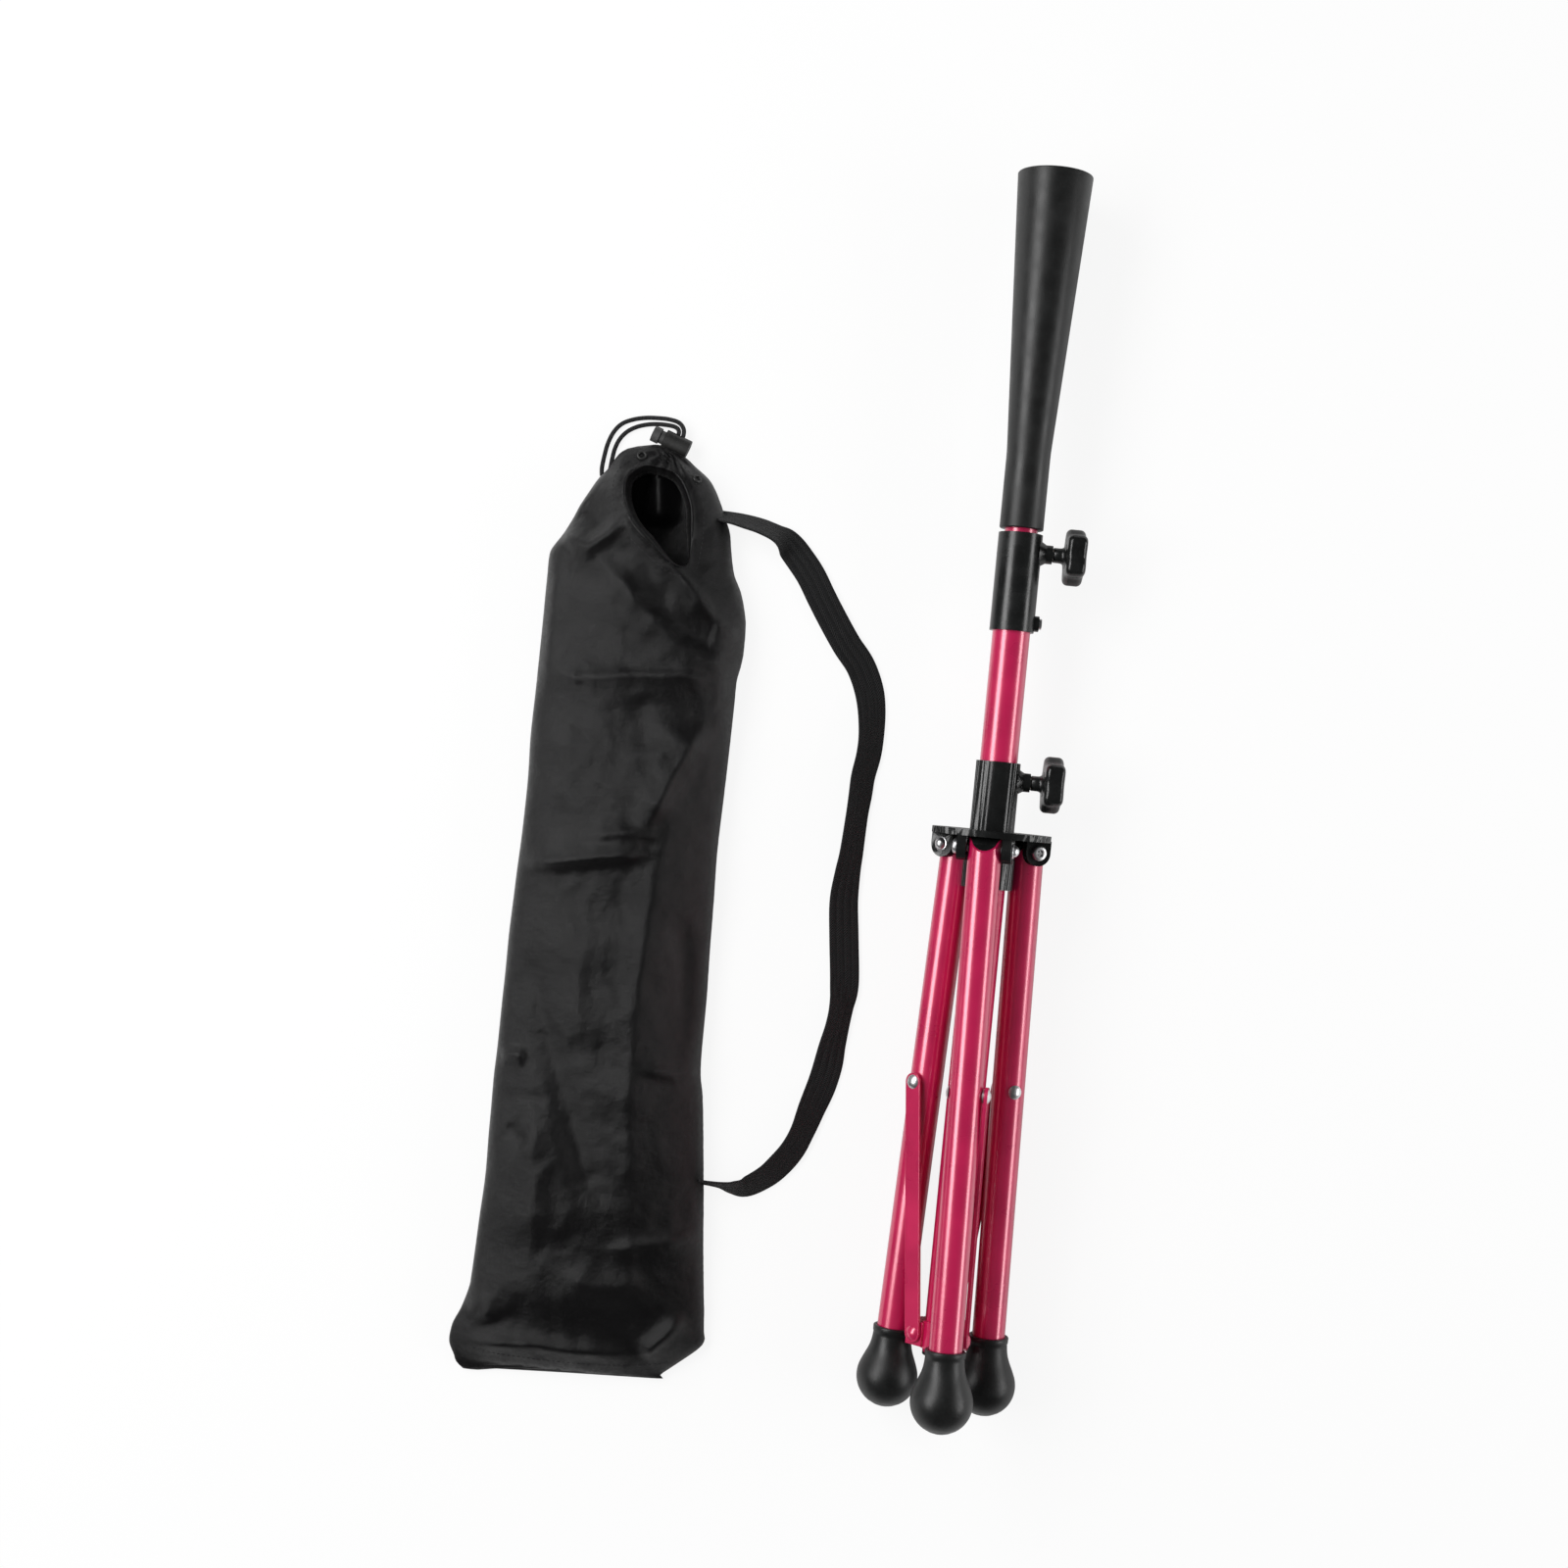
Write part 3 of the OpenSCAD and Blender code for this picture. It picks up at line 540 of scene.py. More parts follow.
def swept(
    path: np.ndarray, around: int, section: Callable[[float, float], tuple[float, float]], width: float
) -> Shape:
    """A grid laid along a path, mapped as width across and metres along.

    Args:
        path: Points of the path, in millimetres, one row each.
        around: Number of faces across the section.
        section: Gives the sideways and upward offset from shares across and along.
        width: What the map's first direction runs to.

    Returns:
        The swept surface.
    """
    shape = bmesh.new()
    layer = shape.loops.layers.uv.new("map")
    count = len(path) - 1
    bmesh.ops.create_grid(shape, x_segments=around, y_segments=count, size=0.5)
    steps = np.linalg.norm(np.diff(path, axis=0), axis=1)
    run = np.concatenate([[0.0], np.cumsum(steps)]) * MM
    for face in shape.faces:
        for loop in face.loops:
            along = round((loop.vert.co.y + 0.5) * count)
            loop[layer].uv = ((loop.vert.co.x + 0.5) * width, run[along])
    for vert in shape.verts:
        across, along = vert.co.x + 0.5, round((vert.co.y + 0.5) * count)
        ahead = Vector(path[min(along + 1, count)]) - Vector(path[max(along - 1, 0)])
        ahead.normalize()
        side = ahead.cross(Vector((0, 0, 1)))
        side = side.normalized() if side.length > 0.05 else Vector((1, 0, 0))
        rise = side.cross(ahead)
        offset = section(across, along / count)
        vert.co = (Vector(path[along]) + side * offset[0] + rise * offset[1]) * MM
    return shape


def round_cord(path: np.ndarray, diameter: float, sides: int = 14) -> Shape:
    """A closed round tube along a path."""
    radius = diameter / 2
    shape = swept(
        path, sides, lambda u, v: (radius * math.cos(FULL_TURN * u), radius * math.sin(FULL_TURN * u)), 1.0
    )
    bmesh.ops.remove_doubles(shape, verts=shape.verts, dist=0.005 * MM)
    bmesh.ops.holes_fill(shape, edges=[e for e in shape.edges if e.is_boundary], sides=0)
    bmesh.ops.recalc_face_normals(shape, faces=shape.faces)
    return shape


def stitches(
    points: np.ndarray, spacing: float, length: float, thickness: float, lift: Height
) -> Shape:
    """A row of thread stitches along a line.

    Args:
        points: The line's X and Y, in millimetres.
        spacing: Distance from one stitch to the next.
        length: Length of a stitch.
        thickness: Thickness of the thread.
        lift: Gives the cloth's height at a place.

    Returns:
        All the stitches as one shape.
    """
    steps = np.linalg.norm(np.diff(points, axis=0), axis=1)
    run = np.concatenate([[0.0], np.cumsum(steps)])
    whole = bmesh.new()
    for place in np.arange(spacing / 2, run[-1], spacing):
        reach = (place - length / 2, place + length / 2)
        ends = [[float(np.interp(at, run, points[:, axis])) for axis in (0, 1)] for at in reach]
        tail, head = (Vector((x, y, lift(x, y))) for x, y in ends)
        turn = (head - tail).to_track_quat("X", "Z").to_matrix().to_4x4()
        sized = Matrix.Diagonal((length / 2, thickness / 2, thickness / 2, 1))
        spot = Matrix.Translation((tail + head) / 2 * MM) @ turn @ Matrix.Scale(MM, 4) @ sized
        bmesh.ops.create_icosphere(whole, subdivisions=1, radius=1.0, matrix=spot)
    return whole


def domed_head(radius: float, height: float, base: float, shaft: float, tip: float) -> list[Point]:
    """Profile of a domed rivet or screw head on its shaft, from the tip up along Z."""
    dome = (radius**2 + height**2) / (2 * height)
    reach = math.degrees(math.asin(min(1.0, radius / dome)))
    crown = arc((0.0, base + height - dome), dome, 90 - reach, 90, 10)
    return [(0.0, tip), (shaft - 0.3, tip), (shaft, tip + 0.3), (shaft, base), (radius, base)] + crown


# ---------------------------------------------------------------- the tee


class Leg(Enum):
    """The three legs, by their direction about the axis in degrees."""

    FRONT = 270
    RIGHT = 30
    LEFT = 150

    @property
    def side(self) -> str:
        """The word that begins the names of this leg's pieces."""
        return self.name.lower()


@dataclass(frozen=True)
class TeeFrame:
    """Where the tee lies. It is worked out standing on its feet along +Z, then laid down along +Y."""

    axis_x: float
    foot_tips_y: float
    axis_z: float
    pivot_height: float = 379.5
    pivot_radius: float = 27.0
    foot_radius: float = 38.0
    foot_ball: float = 20.5
    hub_twist: float = math.radians(12.0)
    leg_radius: float = 11.0
    rivet_drop: float = 160.0
    rivet_head: float = 4.7
    brace_length: float = 165.0
    brace_radius: float = 12.0
    brace_thickness: float = 2.2
    brace_shadow: float = 60.0
    pass_gap: float = 0.3
    fit_gap: float = 0.05

    @classmethod
    def from_cad(cls) -> TeeFrame:
        """Finds the tee from the main tube and the front foot."""
        low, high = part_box("main_tube")
        return cls((low.x + high.x) / 2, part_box("front_foot")[0].y, (low.z + high.z) / 2)

    @property
    def foot_reach(self) -> Vector:
        """A folded foot's centre from its leg's pivot: outwards, across and down."""
        outward = self.foot_radius * math.cos(self.hub_twist) - self.pivot_radius
        across = self.foot_radius * math.sin(self.hub_twist)
        return Vector((outward, across, self.pivot_height - self.foot_ball))

    @property
    def fold_angle(self) -> float:
        """Angle of a folded leg to the axis."""
        return math.atan2(self.foot_reach.x, self.foot_reach.z)

    @property
    def lean(self) -> float:
        """Sideways lean of a leg from its hinge's plane."""
        return math.asin(self.foot_reach.y / self.foot_reach.length)

    @property
    def brace_face(self) -> float:
        """Distance of a brace's near face from its leg's middle plane."""
        return self.leg_radius + self.pass_gap + (self.rivet_drop + self.brace_shadow) * math.tan(self.lean)

    @property
    def brace_back(self) -> float:
        """Distance of a brace's far face from its leg's middle plane."""
        return self.brace_face + self.brace_thickness

    @property
    def rivet_side(self) -> float:
        """Distance across from the hinge's plane to a leg's middle, at its rivet."""
        return self.rivet_drop * math.tan(self.lean)

    @property
    def rivet_seat(self) -> float:
        """Distance of a rivet's head from its leg's middle."""
        return self.leg_radius / math.cos(self.lean) + self.rivet_head * math.tan(self.lean) + self.fit_gap

    @property
    def brace_angle(self) -> float:
        """Angle of a folded brace to the axis."""
        reach = self.pivot_radius - self.brace_radius + self.rivet_drop * math.sin(self.fold_angle)
        return math.asin(reach / self.brace_length)

    @property
    def brace_height(self) -> float:
        """Height of the lower brace pivots."""
        legs = self.rivet_drop * math.cos(self.fold_angle)
        return self.pivot_height - legs - self.brace_length * math.cos(self.brace_angle)

    def laid(self) -> Matrix:
        """Takes the standing tee to where it lies."""
        return Matrix.Translation((self.axis_x, self.foot_tips_y, self.axis_z)) @ Matrix.Rotation(
            -math.pi / 2, 4, "X"
        )

    def toward(self, leg: Leg) -> Matrix:
        """The laid frame turned to a leg's hinge: +X away from the axis, +Y across the leg."""
        return self.laid() @ Matrix.Rotation(math.radians(leg.value) - self.hub_twist, 4, "Z")

    def at_pivot(self, leg: Leg) -> Matrix:
        """The frame of a leg's hinge, moved out to its pivot."""
        return self.toward(leg) @ Matrix.Translation((self.pivot_radius * MM, 0, self.pivot_height * MM))

    def at_brace_pin(self, leg: Leg) -> Matrix:
        """The frame of a leg's hinge, moved to the lower pivot of its brace."""
        return self.toward(leg) @ Matrix.Translation((self.brace_radius * MM, 0, self.brace_height * MM))

    def on_leg(self, leg: Leg) -> Matrix:
        """A leg's hinge frame: origin at its pivot, -Z down the leg but for its lean."""
        return self.at_pivot(leg) @ Matrix.Rotation(-self.fold_angle, 4, "Y")

    def down_leg(self, leg: Leg) -> Matrix:
        """A leg's own frame: origin at its pivot, leg along -Z."""
        return self.on_leg(leg) @ Matrix.Rotation(self.lean, 4, "X")

    def on_brace(self, leg: Leg) -> Matrix:
        """A brace's own frame: origin at its lower pivot, brace along +Z."""
        return self.at_brace_pin(leg) @ Matrix.Rotation(self.brace_angle, 4, "Y")

    def standing(self, y: float) -> float:
        """Height in millimetres, on the standing tee, of a place along +Y in metres."""
        return (y - self.foot_tips_y) / MM


ACROSS = Matrix.Rotation(-math.pi / 2, 4, "X")
AGAINST = Matrix.Rotation(math.pi / 2, 4, "X")
OUTWARD = Matrix.Rotation(math.pi / 2, 4, "Y")


@dataclass
class CupAndInnerTube:
    """The sliding inner tube with its rubber cup."""

    tee: TeeFrame
    base_radius: float = 14.5
    mouth_radius: float = 25.0
    straight: float = 52.0
    wall: float = 3.2
    seat_radius: float = 21.5
    seat_depth: float = 12.0
    grip: float = 100.0
    tube_radius: float = 11.05
    shelf: float = 3.0
    lip: float = 0.9
    seat_step: float = 1.2
    seam_height: float = 0.14

    def profile(self, low: float, high: float) -> list[Point]:
        """The cup's section, from inside its lower end round by its rim."""
        step = low + self.grip + self.shelf
        share = (step - low - self.straight) / (high - low - self.straight)
        inner = self.base_radius + (self.mouth_radius - self.base_radius) * share - self.wall
        lip = self.lip
        rim = arc((self.mouth_radius - lip, high - lip), lip, 0, 90, 5)
        throat = arc((self.seat_radius + lip, high - lip), lip, 90, 180, 5)
        foot = arc((self.base_radius - lip, low + lip), lip, -90, 0, 5)
        bend = low + self.straight
        flare = [(self.base_radius + out, bend + up) for out, up in ((0, -6), (0.08, 0), (0.5, 8))]
        seat_end = high - self.seat_depth
        seat = [(self.seat_radius, seat_end), (self.seat_radius - 0.8, seat_end - self.seat_step)]
        return [(self.tube_radius, low)] + foot + flare + rim + throat + seat + [
            (inner, step), (self.tube_radius, step)]

    def build(self) -> None:
        """Makes the cup and dresses the tube."""
        low, high = (self.tee.standing(corner.y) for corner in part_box("cup"))
        cup = turned(self.profile(low, high), closed=True, steps=96)
        for vert in cup.verts:
            spread = math.hypot(vert.co.x, vert.co.y)
            if abs(vert.co.y) < 0.02 * spread and spread > (self.base_radius - self.lip) * MM:
                vert.co.x *= 1 + self.seam_height * MM / spread
        cup.transform(self.tee.laid())
        piece("ball_cup", cup, BLACK_RUBBER, "riser", ["cup"])
        eased_copy("inner_tube", 0.2, CRIMSON, "riser")
        dress_nodes(BLACK_MOULDING, ["inner_tube_cap"])
        dress_nodes(PALE_MOULDING, ["inner_tube_bush"])


@dataclass
class MainTube:
    """The main tube with its collar at the top and the brace hub at the bottom."""

    tee: TeeFrame
    pin_seat: float = 3.6
    pin_radius: float = 2.5
    head_radius: float = 4.7
    head_height: float = 1.8

    def build(self) -> None:
        """Makes the collar, hub and pins and dresses the tube."""
        eased_copy("main_tube", 0.2, CRIMSON, "post")
        dress_nodes(BRIGHT_ZINC, ["collar_screw"])
        dress_nodes(TURNED_BRASS, ["upper_insert"])
        dress_nodes(BLACK_MOULDING, ["post_plug"])
        eased_copy("upper_collar", 0.5, BLACK_MOULDING, "post")
        eased_copy("lower_hub", 0.4, CRIMSON, "post")
        pins = []
        for leg in Leg:
            pin = turned(domed_head(
                self.head_radius, self.head_height, self.tee.brace_back + 0.1, self.pin_radius,
                self.tee.brace_face - self.pin_seat), steps=40)
            pin.transform(self.tee.at_brace_pin(leg) @ ACROSS)
            pins.append(pin)
        piece("brace_pivot_pins", joined(pins), CRIMSON, "post", ["brace_pins"])


@dataclass
class Hub:
    """The sliding hub with its leg bolts and cap nuts."""

    tee: TeeFrame
    ear_face: float = 18.0
    bolt_radius: float = 3.0
    head_radius: float = 5.0
    head_height: float = 3.2
    head_round: float = 1.6
    overlap: float = 3.0
    socket_radius: float = 2.2
    socket_depth: float = 1.6
    socket_bar: float = 0.9
    nut_radius: float = 4.2

    def bolt(self, leg: Leg) -> Shape:
        """One leg bolt, with a socket in its low domed head."""
        base = self.ear_face
        tip = -self.ear_face - self.overlap
        top = base + self.head_height
        floor = top - self.socket_depth
        rim = arc((self.head_radius - self.head_round, top - self.head_round), self.head_round, 0, 80, 6)
        profile = [(0.0, tip), (self.bolt_radius, tip), (self.bolt_radius, base), (self.head_radius, base)]
        profile += rim + [(self.socket_radius + 0.3, top), (self.socket_radius, top - 0.3)]
        profile += [(self.socket_radius, floor), (0.0, floor - 0.4)]
        shape = turned(profile, steps=48)
        cross = bmesh.new()
        for angle in (0.0, math.pi / 2):
            spot = Matrix.Translation((0, 0, (floor + 0.25) * MM))
            bar = Matrix.Diagonal(
                (self.socket_radius * 1.9 * MM, self.socket_bar * MM, self.socket_bar * MM, 1))
            bmesh.ops.create_cube(cross, size=1.0, matrix=spot @ Matrix.Rotation(angle, 4, "Z") @ bar)
        shape = joined([shape, cross])
        shape.transform(self.tee.at_pivot(leg) @ AGAINST)
        return shape

    def nut(self, leg: Leg) -> Shape:
        """One domed cap nut on its flange."""
        base = self.ear_face
        dome = arc((0.0, base + 0.2), self.nut_radius, 12, 90, 12)
        shape = turned([(0.0, base), (self.head_radius, base), (self.head_radius, base + 0.7),
                        (self.head_radius - 0.3, base + 1.0)] + dome, steps=48)
        shape.transform(self.tee.at_pivot(leg) @ ACROSS)
        return shape

    def build(self) -> None:
        """Makes the hub's moulding, bolts and nuts."""
        eased_copy("hub", 0.5, BLACK_MOULDING, "hub")
        dress_nodes(TURNED_BRASS, ["hub_insert"])
        piece("hub_bolts", joined([self.bolt(leg) for leg in Leg]), BRIGHT_ZINC, "hub", ["leg_bolts"])
        piece("hub_cap_nuts", joined([self.nut(leg) for leg in Leg]), BRIGHT_ZINC, "hub", ["leg_nuts"])


@dataclass
class TripodLeg:
    """One leg tube with its foot and rivet."""

    tee: TeeFrame
    leg: Leg
    foot_length: float = 54.0
    foot_wall: float = 1.8
    sole: float = 14.0
    tread: tuple[int, ...] = (6, 10)
    head_height: float = 1.8
    rivet_radius: float = 2.5

    def foot_profile(self) -> list[Point]:
        """The foot's section from the tip of its sole up and round into its bore."""
        ball = self.tee.foot_ball
        neck = self.tee.leg_radius + self.foot_wall
        top = self.foot_length
        groove = [(0.0, 0.25), (3.4, 0.35), (4.0, 0.9), (4.6, 0.5)]
        sole = []
        for start in self.tread:
            near, far = (ball - math.sqrt(ball**2 - edge**2) for edge in (start, start + 1.2))
            sole += [(start - 0.2, near), (start + 0.5, near + 0.6), (start + 1.2, far)]
        bulge = arc((0.0, ball), ball, -50, 20, 22)
        start, end = bulge[-1], (neck + 0.25, top - 6.5)
        lean = (start[0] - 3.1, start[1] + 8.5)
        ease_in = (end[0] + 0.5, end[1] - 9.0)
        taper = [self.bezier(start, lean, ease_in, end, i / 12) for i in range(1, 13)]
        lip = [(neck + 0.1, top - 4.6), (neck + 0.5, top - 4.0)]
        lip += arc((neck - 0.3, top - 1.0), 1.0, 0, 90, 5)
        bore = self.tee.leg_radius + self.tee.fit_gap
        inside = [(bore + 0.4, top), (bore, top - 0.4), (bore, self.sole), (0.0, self.sole)]
        return groove + sole + bulge + taper + lip + inside

    @staticmethod
    def bezier(a: Point, b: Point, c: Point, d: Point, t: float) -> Point:
        """A point on a cubic curve."""
        s = 1 - t
        return tuple(
            a[k] * s**3 + 3 * b[k] * s * s * t + 3 * c[k] * s * t * t + d[k] * t**3 for k in range(2)
        )

    def build(self) -> None:
        """Makes the foot and rivet and dresses the tube and plug."""
        side = self.leg.side
        tee = self.tee
        length = tee.foot_reach.length + tee.foot_ball
        foot = turned(self.foot_profile(), steps=72)
        foot.transform(tee.down_leg(self.leg) @ Matrix.Translation((0, 0, -length * MM)))
        piece(f"{side}_foot_boot", foot, BLACK_RUBBER, f"{side}_leg", [f"{side}_foot"], 50)
        place = tee.on_leg(self.leg)
        face = tee.brace_face - tee.pass_gap
        near = tee.rivet_side + tee.rivet_seat
        far = tee.rivet_seat - tee.rivet_side
        rivet = turned(
            domed_head(tee.rivet_head, self.head_height, far, self.rivet_radius, 0.1 - face), steps=40)
        flange = turned([(0.0, near), (tee.rivet_head - 0.3, near), (tee.rivet_head, near + 0.3),
                         (tee.rivet_head, face - 0.3), (tee.rivet_head - 0.3, face), (0.0, face)], steps=40)
        drop = Matrix.Translation((0, 0, -tee.rivet_drop * MM))
        rivet.transform(place @ drop @ AGAINST)
        flange.transform(place @ drop @ ACROSS)
        piece(f"{side}_rivet", joined([rivet, flange]), BRIGHT_ZINC, f"{side}_leg", [f"{side}_leg_rivet"])
        eased_copy(f"{side}_leg_tube", 0.15, CRIMSON, f"{side}_leg")
        dress_nodes(BLACK_MOULDING, [f"{side}_leg_plug"])


@dataclass
class Brace:
    """One flat brace with its half of the rivet."""

    tee: TeeFrame
    leg: Leg
    head_height: float = 1.8
    rivet_radius: float = 2.5

    def build(self) -> None:
        """Makes the brace and its rivet head."""
        side = self.leg.side
        eased_copy(f"{side}_brace", 0.45, CRIMSON, f"{side}_brace")
        tee = self.tee
        head = turned(domed_head(
            tee.rivet_head, self.head_height, tee.brace_back, self.rivet_radius, tee.brace_face), steps=40)
        head.transform(tee.on_brace(self.leg) @ Matrix.Translation((0, 0, tee.brace_length * MM)) @ ACROSS)
        piece(f"{side}_brace_head", head, BRIGHT_ZINC, f"{side}_brace", [f"{side}_brace_rivet"])


@dataclass
class ClampKnob:
    """A lobed clamp knob on its screw, on a boss of one of the collars."""

    tee: TeeFrame
    level: str
    back: float = 30.5
    neck_start: float = 22.6
    thickness: float = 13.0
    mean_radius: float = 17.4
    lobe_height: float = 2.1
    lobes: int = 5
    neck_radius: float = 5.0
    flange_radius: float = 8.2
    screw_radius: float = 3.1
    rounding: float = 3.6
    dish: tuple[Point, ...] = ((2.0, 0.0), (0.8, -0.9), (3.4, 0.0), (0.7, 0.9), (1.4, 0.5))

    def head(self) -> Shape:
        """The lobed head about Z, its back at height 0."""
        shape = bmesh.new()
        bmesh.ops.create_circle(shape, cap_ends=True, segments=120, radius=1.0)
        for vert in shape.verts:
            angle = math.atan2(vert.co.y, vert.co.x)
            vert.co *= (self.mean_radius + self.lobe_height * math.cos(self.lobes * angle)) * MM
        lifted = bmesh.ops.extrude_face_region(shape, geom=list(shape.faces))
        top = [g for g in lifted["geom"] if isinstance(g, bmesh.types.BMVert)]
        bmesh.ops.translate(shape, verts=top, vec=(0, 0, self.thickness * MM))
        bmesh.ops.recalc_face_normals(shape, faces=shape.faces)
        rims = [e for e in shape.edges if e.calc_face_angle(0.0) > math.radians(60)]
        bmesh.ops.bevel(
            shape, geom=rims, offset=self.rounding * MM, segments=6, profile=0.5, affect="EDGES",
            clamp_overlap=True, material=-1,
        )
        front = max(shape.faces, key=lambda f: (f.calc_center_median().z, f.calc_area()))
        for inset, depth in self.dish:
            bmesh.ops.inset_individual(shape, faces=[front], thickness=inset * MM, depth=depth * MM)
        return shape

    def neck(self) -> Shape:
        """The neck about Z, flared into the head, around the screw's hole."""
        start = self.neck_start - self.back
        flare = arc((self.flange_radius, -3.4), 3.2, 180, 90, 7)
        hole, neck = self.screw_radius, self.neck_radius
        back = [(hole, start), (neck - 0.4, start), (neck, start + 0.4)]
        return turned(back + flare + [(self.flange_radius, 0.6), (hole, 0.6)], closed=True)

    def build(self, joint_y: float) -> None:
        """Makes the knob and dresses its screw.

        Args:
            joint_y: Place of the screw along the tee, in metres.
        """
        shape = joined([self.head(), self.neck()])
        place = Matrix.Translation((self.tee.axis_x + self.back * MM, joint_y, self.tee.axis_z))
        shape.transform(place @ OUTWARD)
        knob = f"{self.level}_knob"
        piece(f"{knob}_grip", shape, BLACK_MOULDING, knob, [knob], 50)
        dress_nodes(BRIGHT_ZINC, [f"{self.level}_clamp_screw"])


# ---------------------------------------------------------------- the carry bag


@dataclass(frozen=True)
class Fold:
    """A crease in the cloth: a crest along a line, with its own fall on each side.

    Attributes:
        line: The crest's points.
        height: Height of the crest, or depth of a valley where it is below 0.
        left: How far the fall reaches to the left of the line.
        right: How far it reaches to the right.
        edge: Radius of the crest.
    """

    line: tuple[Point, ...]
    height: float
    left: float
    right: float
    edge: float = 1.2

    def lift(self, x: np.ndarray, y: np.ndarray) -> np.ndarray:
        """Height that the fold adds at each place."""
        best = np.full(x.shape, 1e9)
        signed = np.zeros(x.shape)
        share = np.zeros(x.shape)
        spans = list(zip(self.line, self.line[1:]))
        for i, ((ax, ay), (bx, by)) in enumerate(spans):
            dx, dy = bx - ax, by - ay
            t = np.clip(((x - ax) * dx + (y - ay) * dy) / (dx * dx + dy * dy), 0, 1)
            off_x, off_y = x - ax - t * dx, y - ay - t * dy
            reach = np.hypot(off_x, off_y)
            nearer = reach < best
            side = np.sign(dx * off_y - dy * off_x)
            best = np.where(nearer, reach, best)
            signed = np.where(nearer, side * reach, signed)
            share = np.where(nearer, (i + t) / len(spans), share)
        width = np.where(signed > 0, self.left, self.right)
        fall = np.exp(-(np.sqrt(best**2 + self.edge**2) - self.edge) / width)
        fade = np.clip(4 * np.minimum(share, 1 - share) + 0.12, 0, 1)
        return self.height * fall * fade


class Outline:
    """A smooth closed outline in the plane."""

    def __init__(self, points: Sequence[Point], count: int = 400) -> None:
        """Runs a smooth closed curve through the points."""
        self.points = smooth_track(points, count, closed=True)
        ahead = np.roll(self.points, -1, axis=0) - np.roll(self.points, 1, axis=0)
        normal = np.stack([-ahead[:, 1], ahead[:, 0]], axis=1)
        normal /= np.linalg.norm(normal, axis=1, keepdims=True)
        x, y = self.points.T
        turning = np.sum(x * np.roll(y, -1) - y * np.roll(x, -1))
        self.inward = normal * (1 if turning > 0 else -1)

    def nearest(self, x: float, y: float) -> tuple[int, float]:
        """Number of the nearest point and the distance to it."""
        reach = np.hypot(self.points[:, 0] - x, self.points[:, 1] - y)
        best = int(reach.argmin())
        return best, float(reach[best])

    def holds(self, x: float, y: float) -> bool:
        """Whether a place lies inside."""
        ax, ay = self.points.T
        bx, by = np.roll(ax, -1), np.roll(ay, -1)
        crossed = (ay > y) != (by > y)
        with np.errstate(divide="ignore", invalid="ignore"):
            at = ax + (y - ay) * (bx - ax) / (by - ay)
        return bool(np.count_nonzero(crossed & (x < at)) % 2)


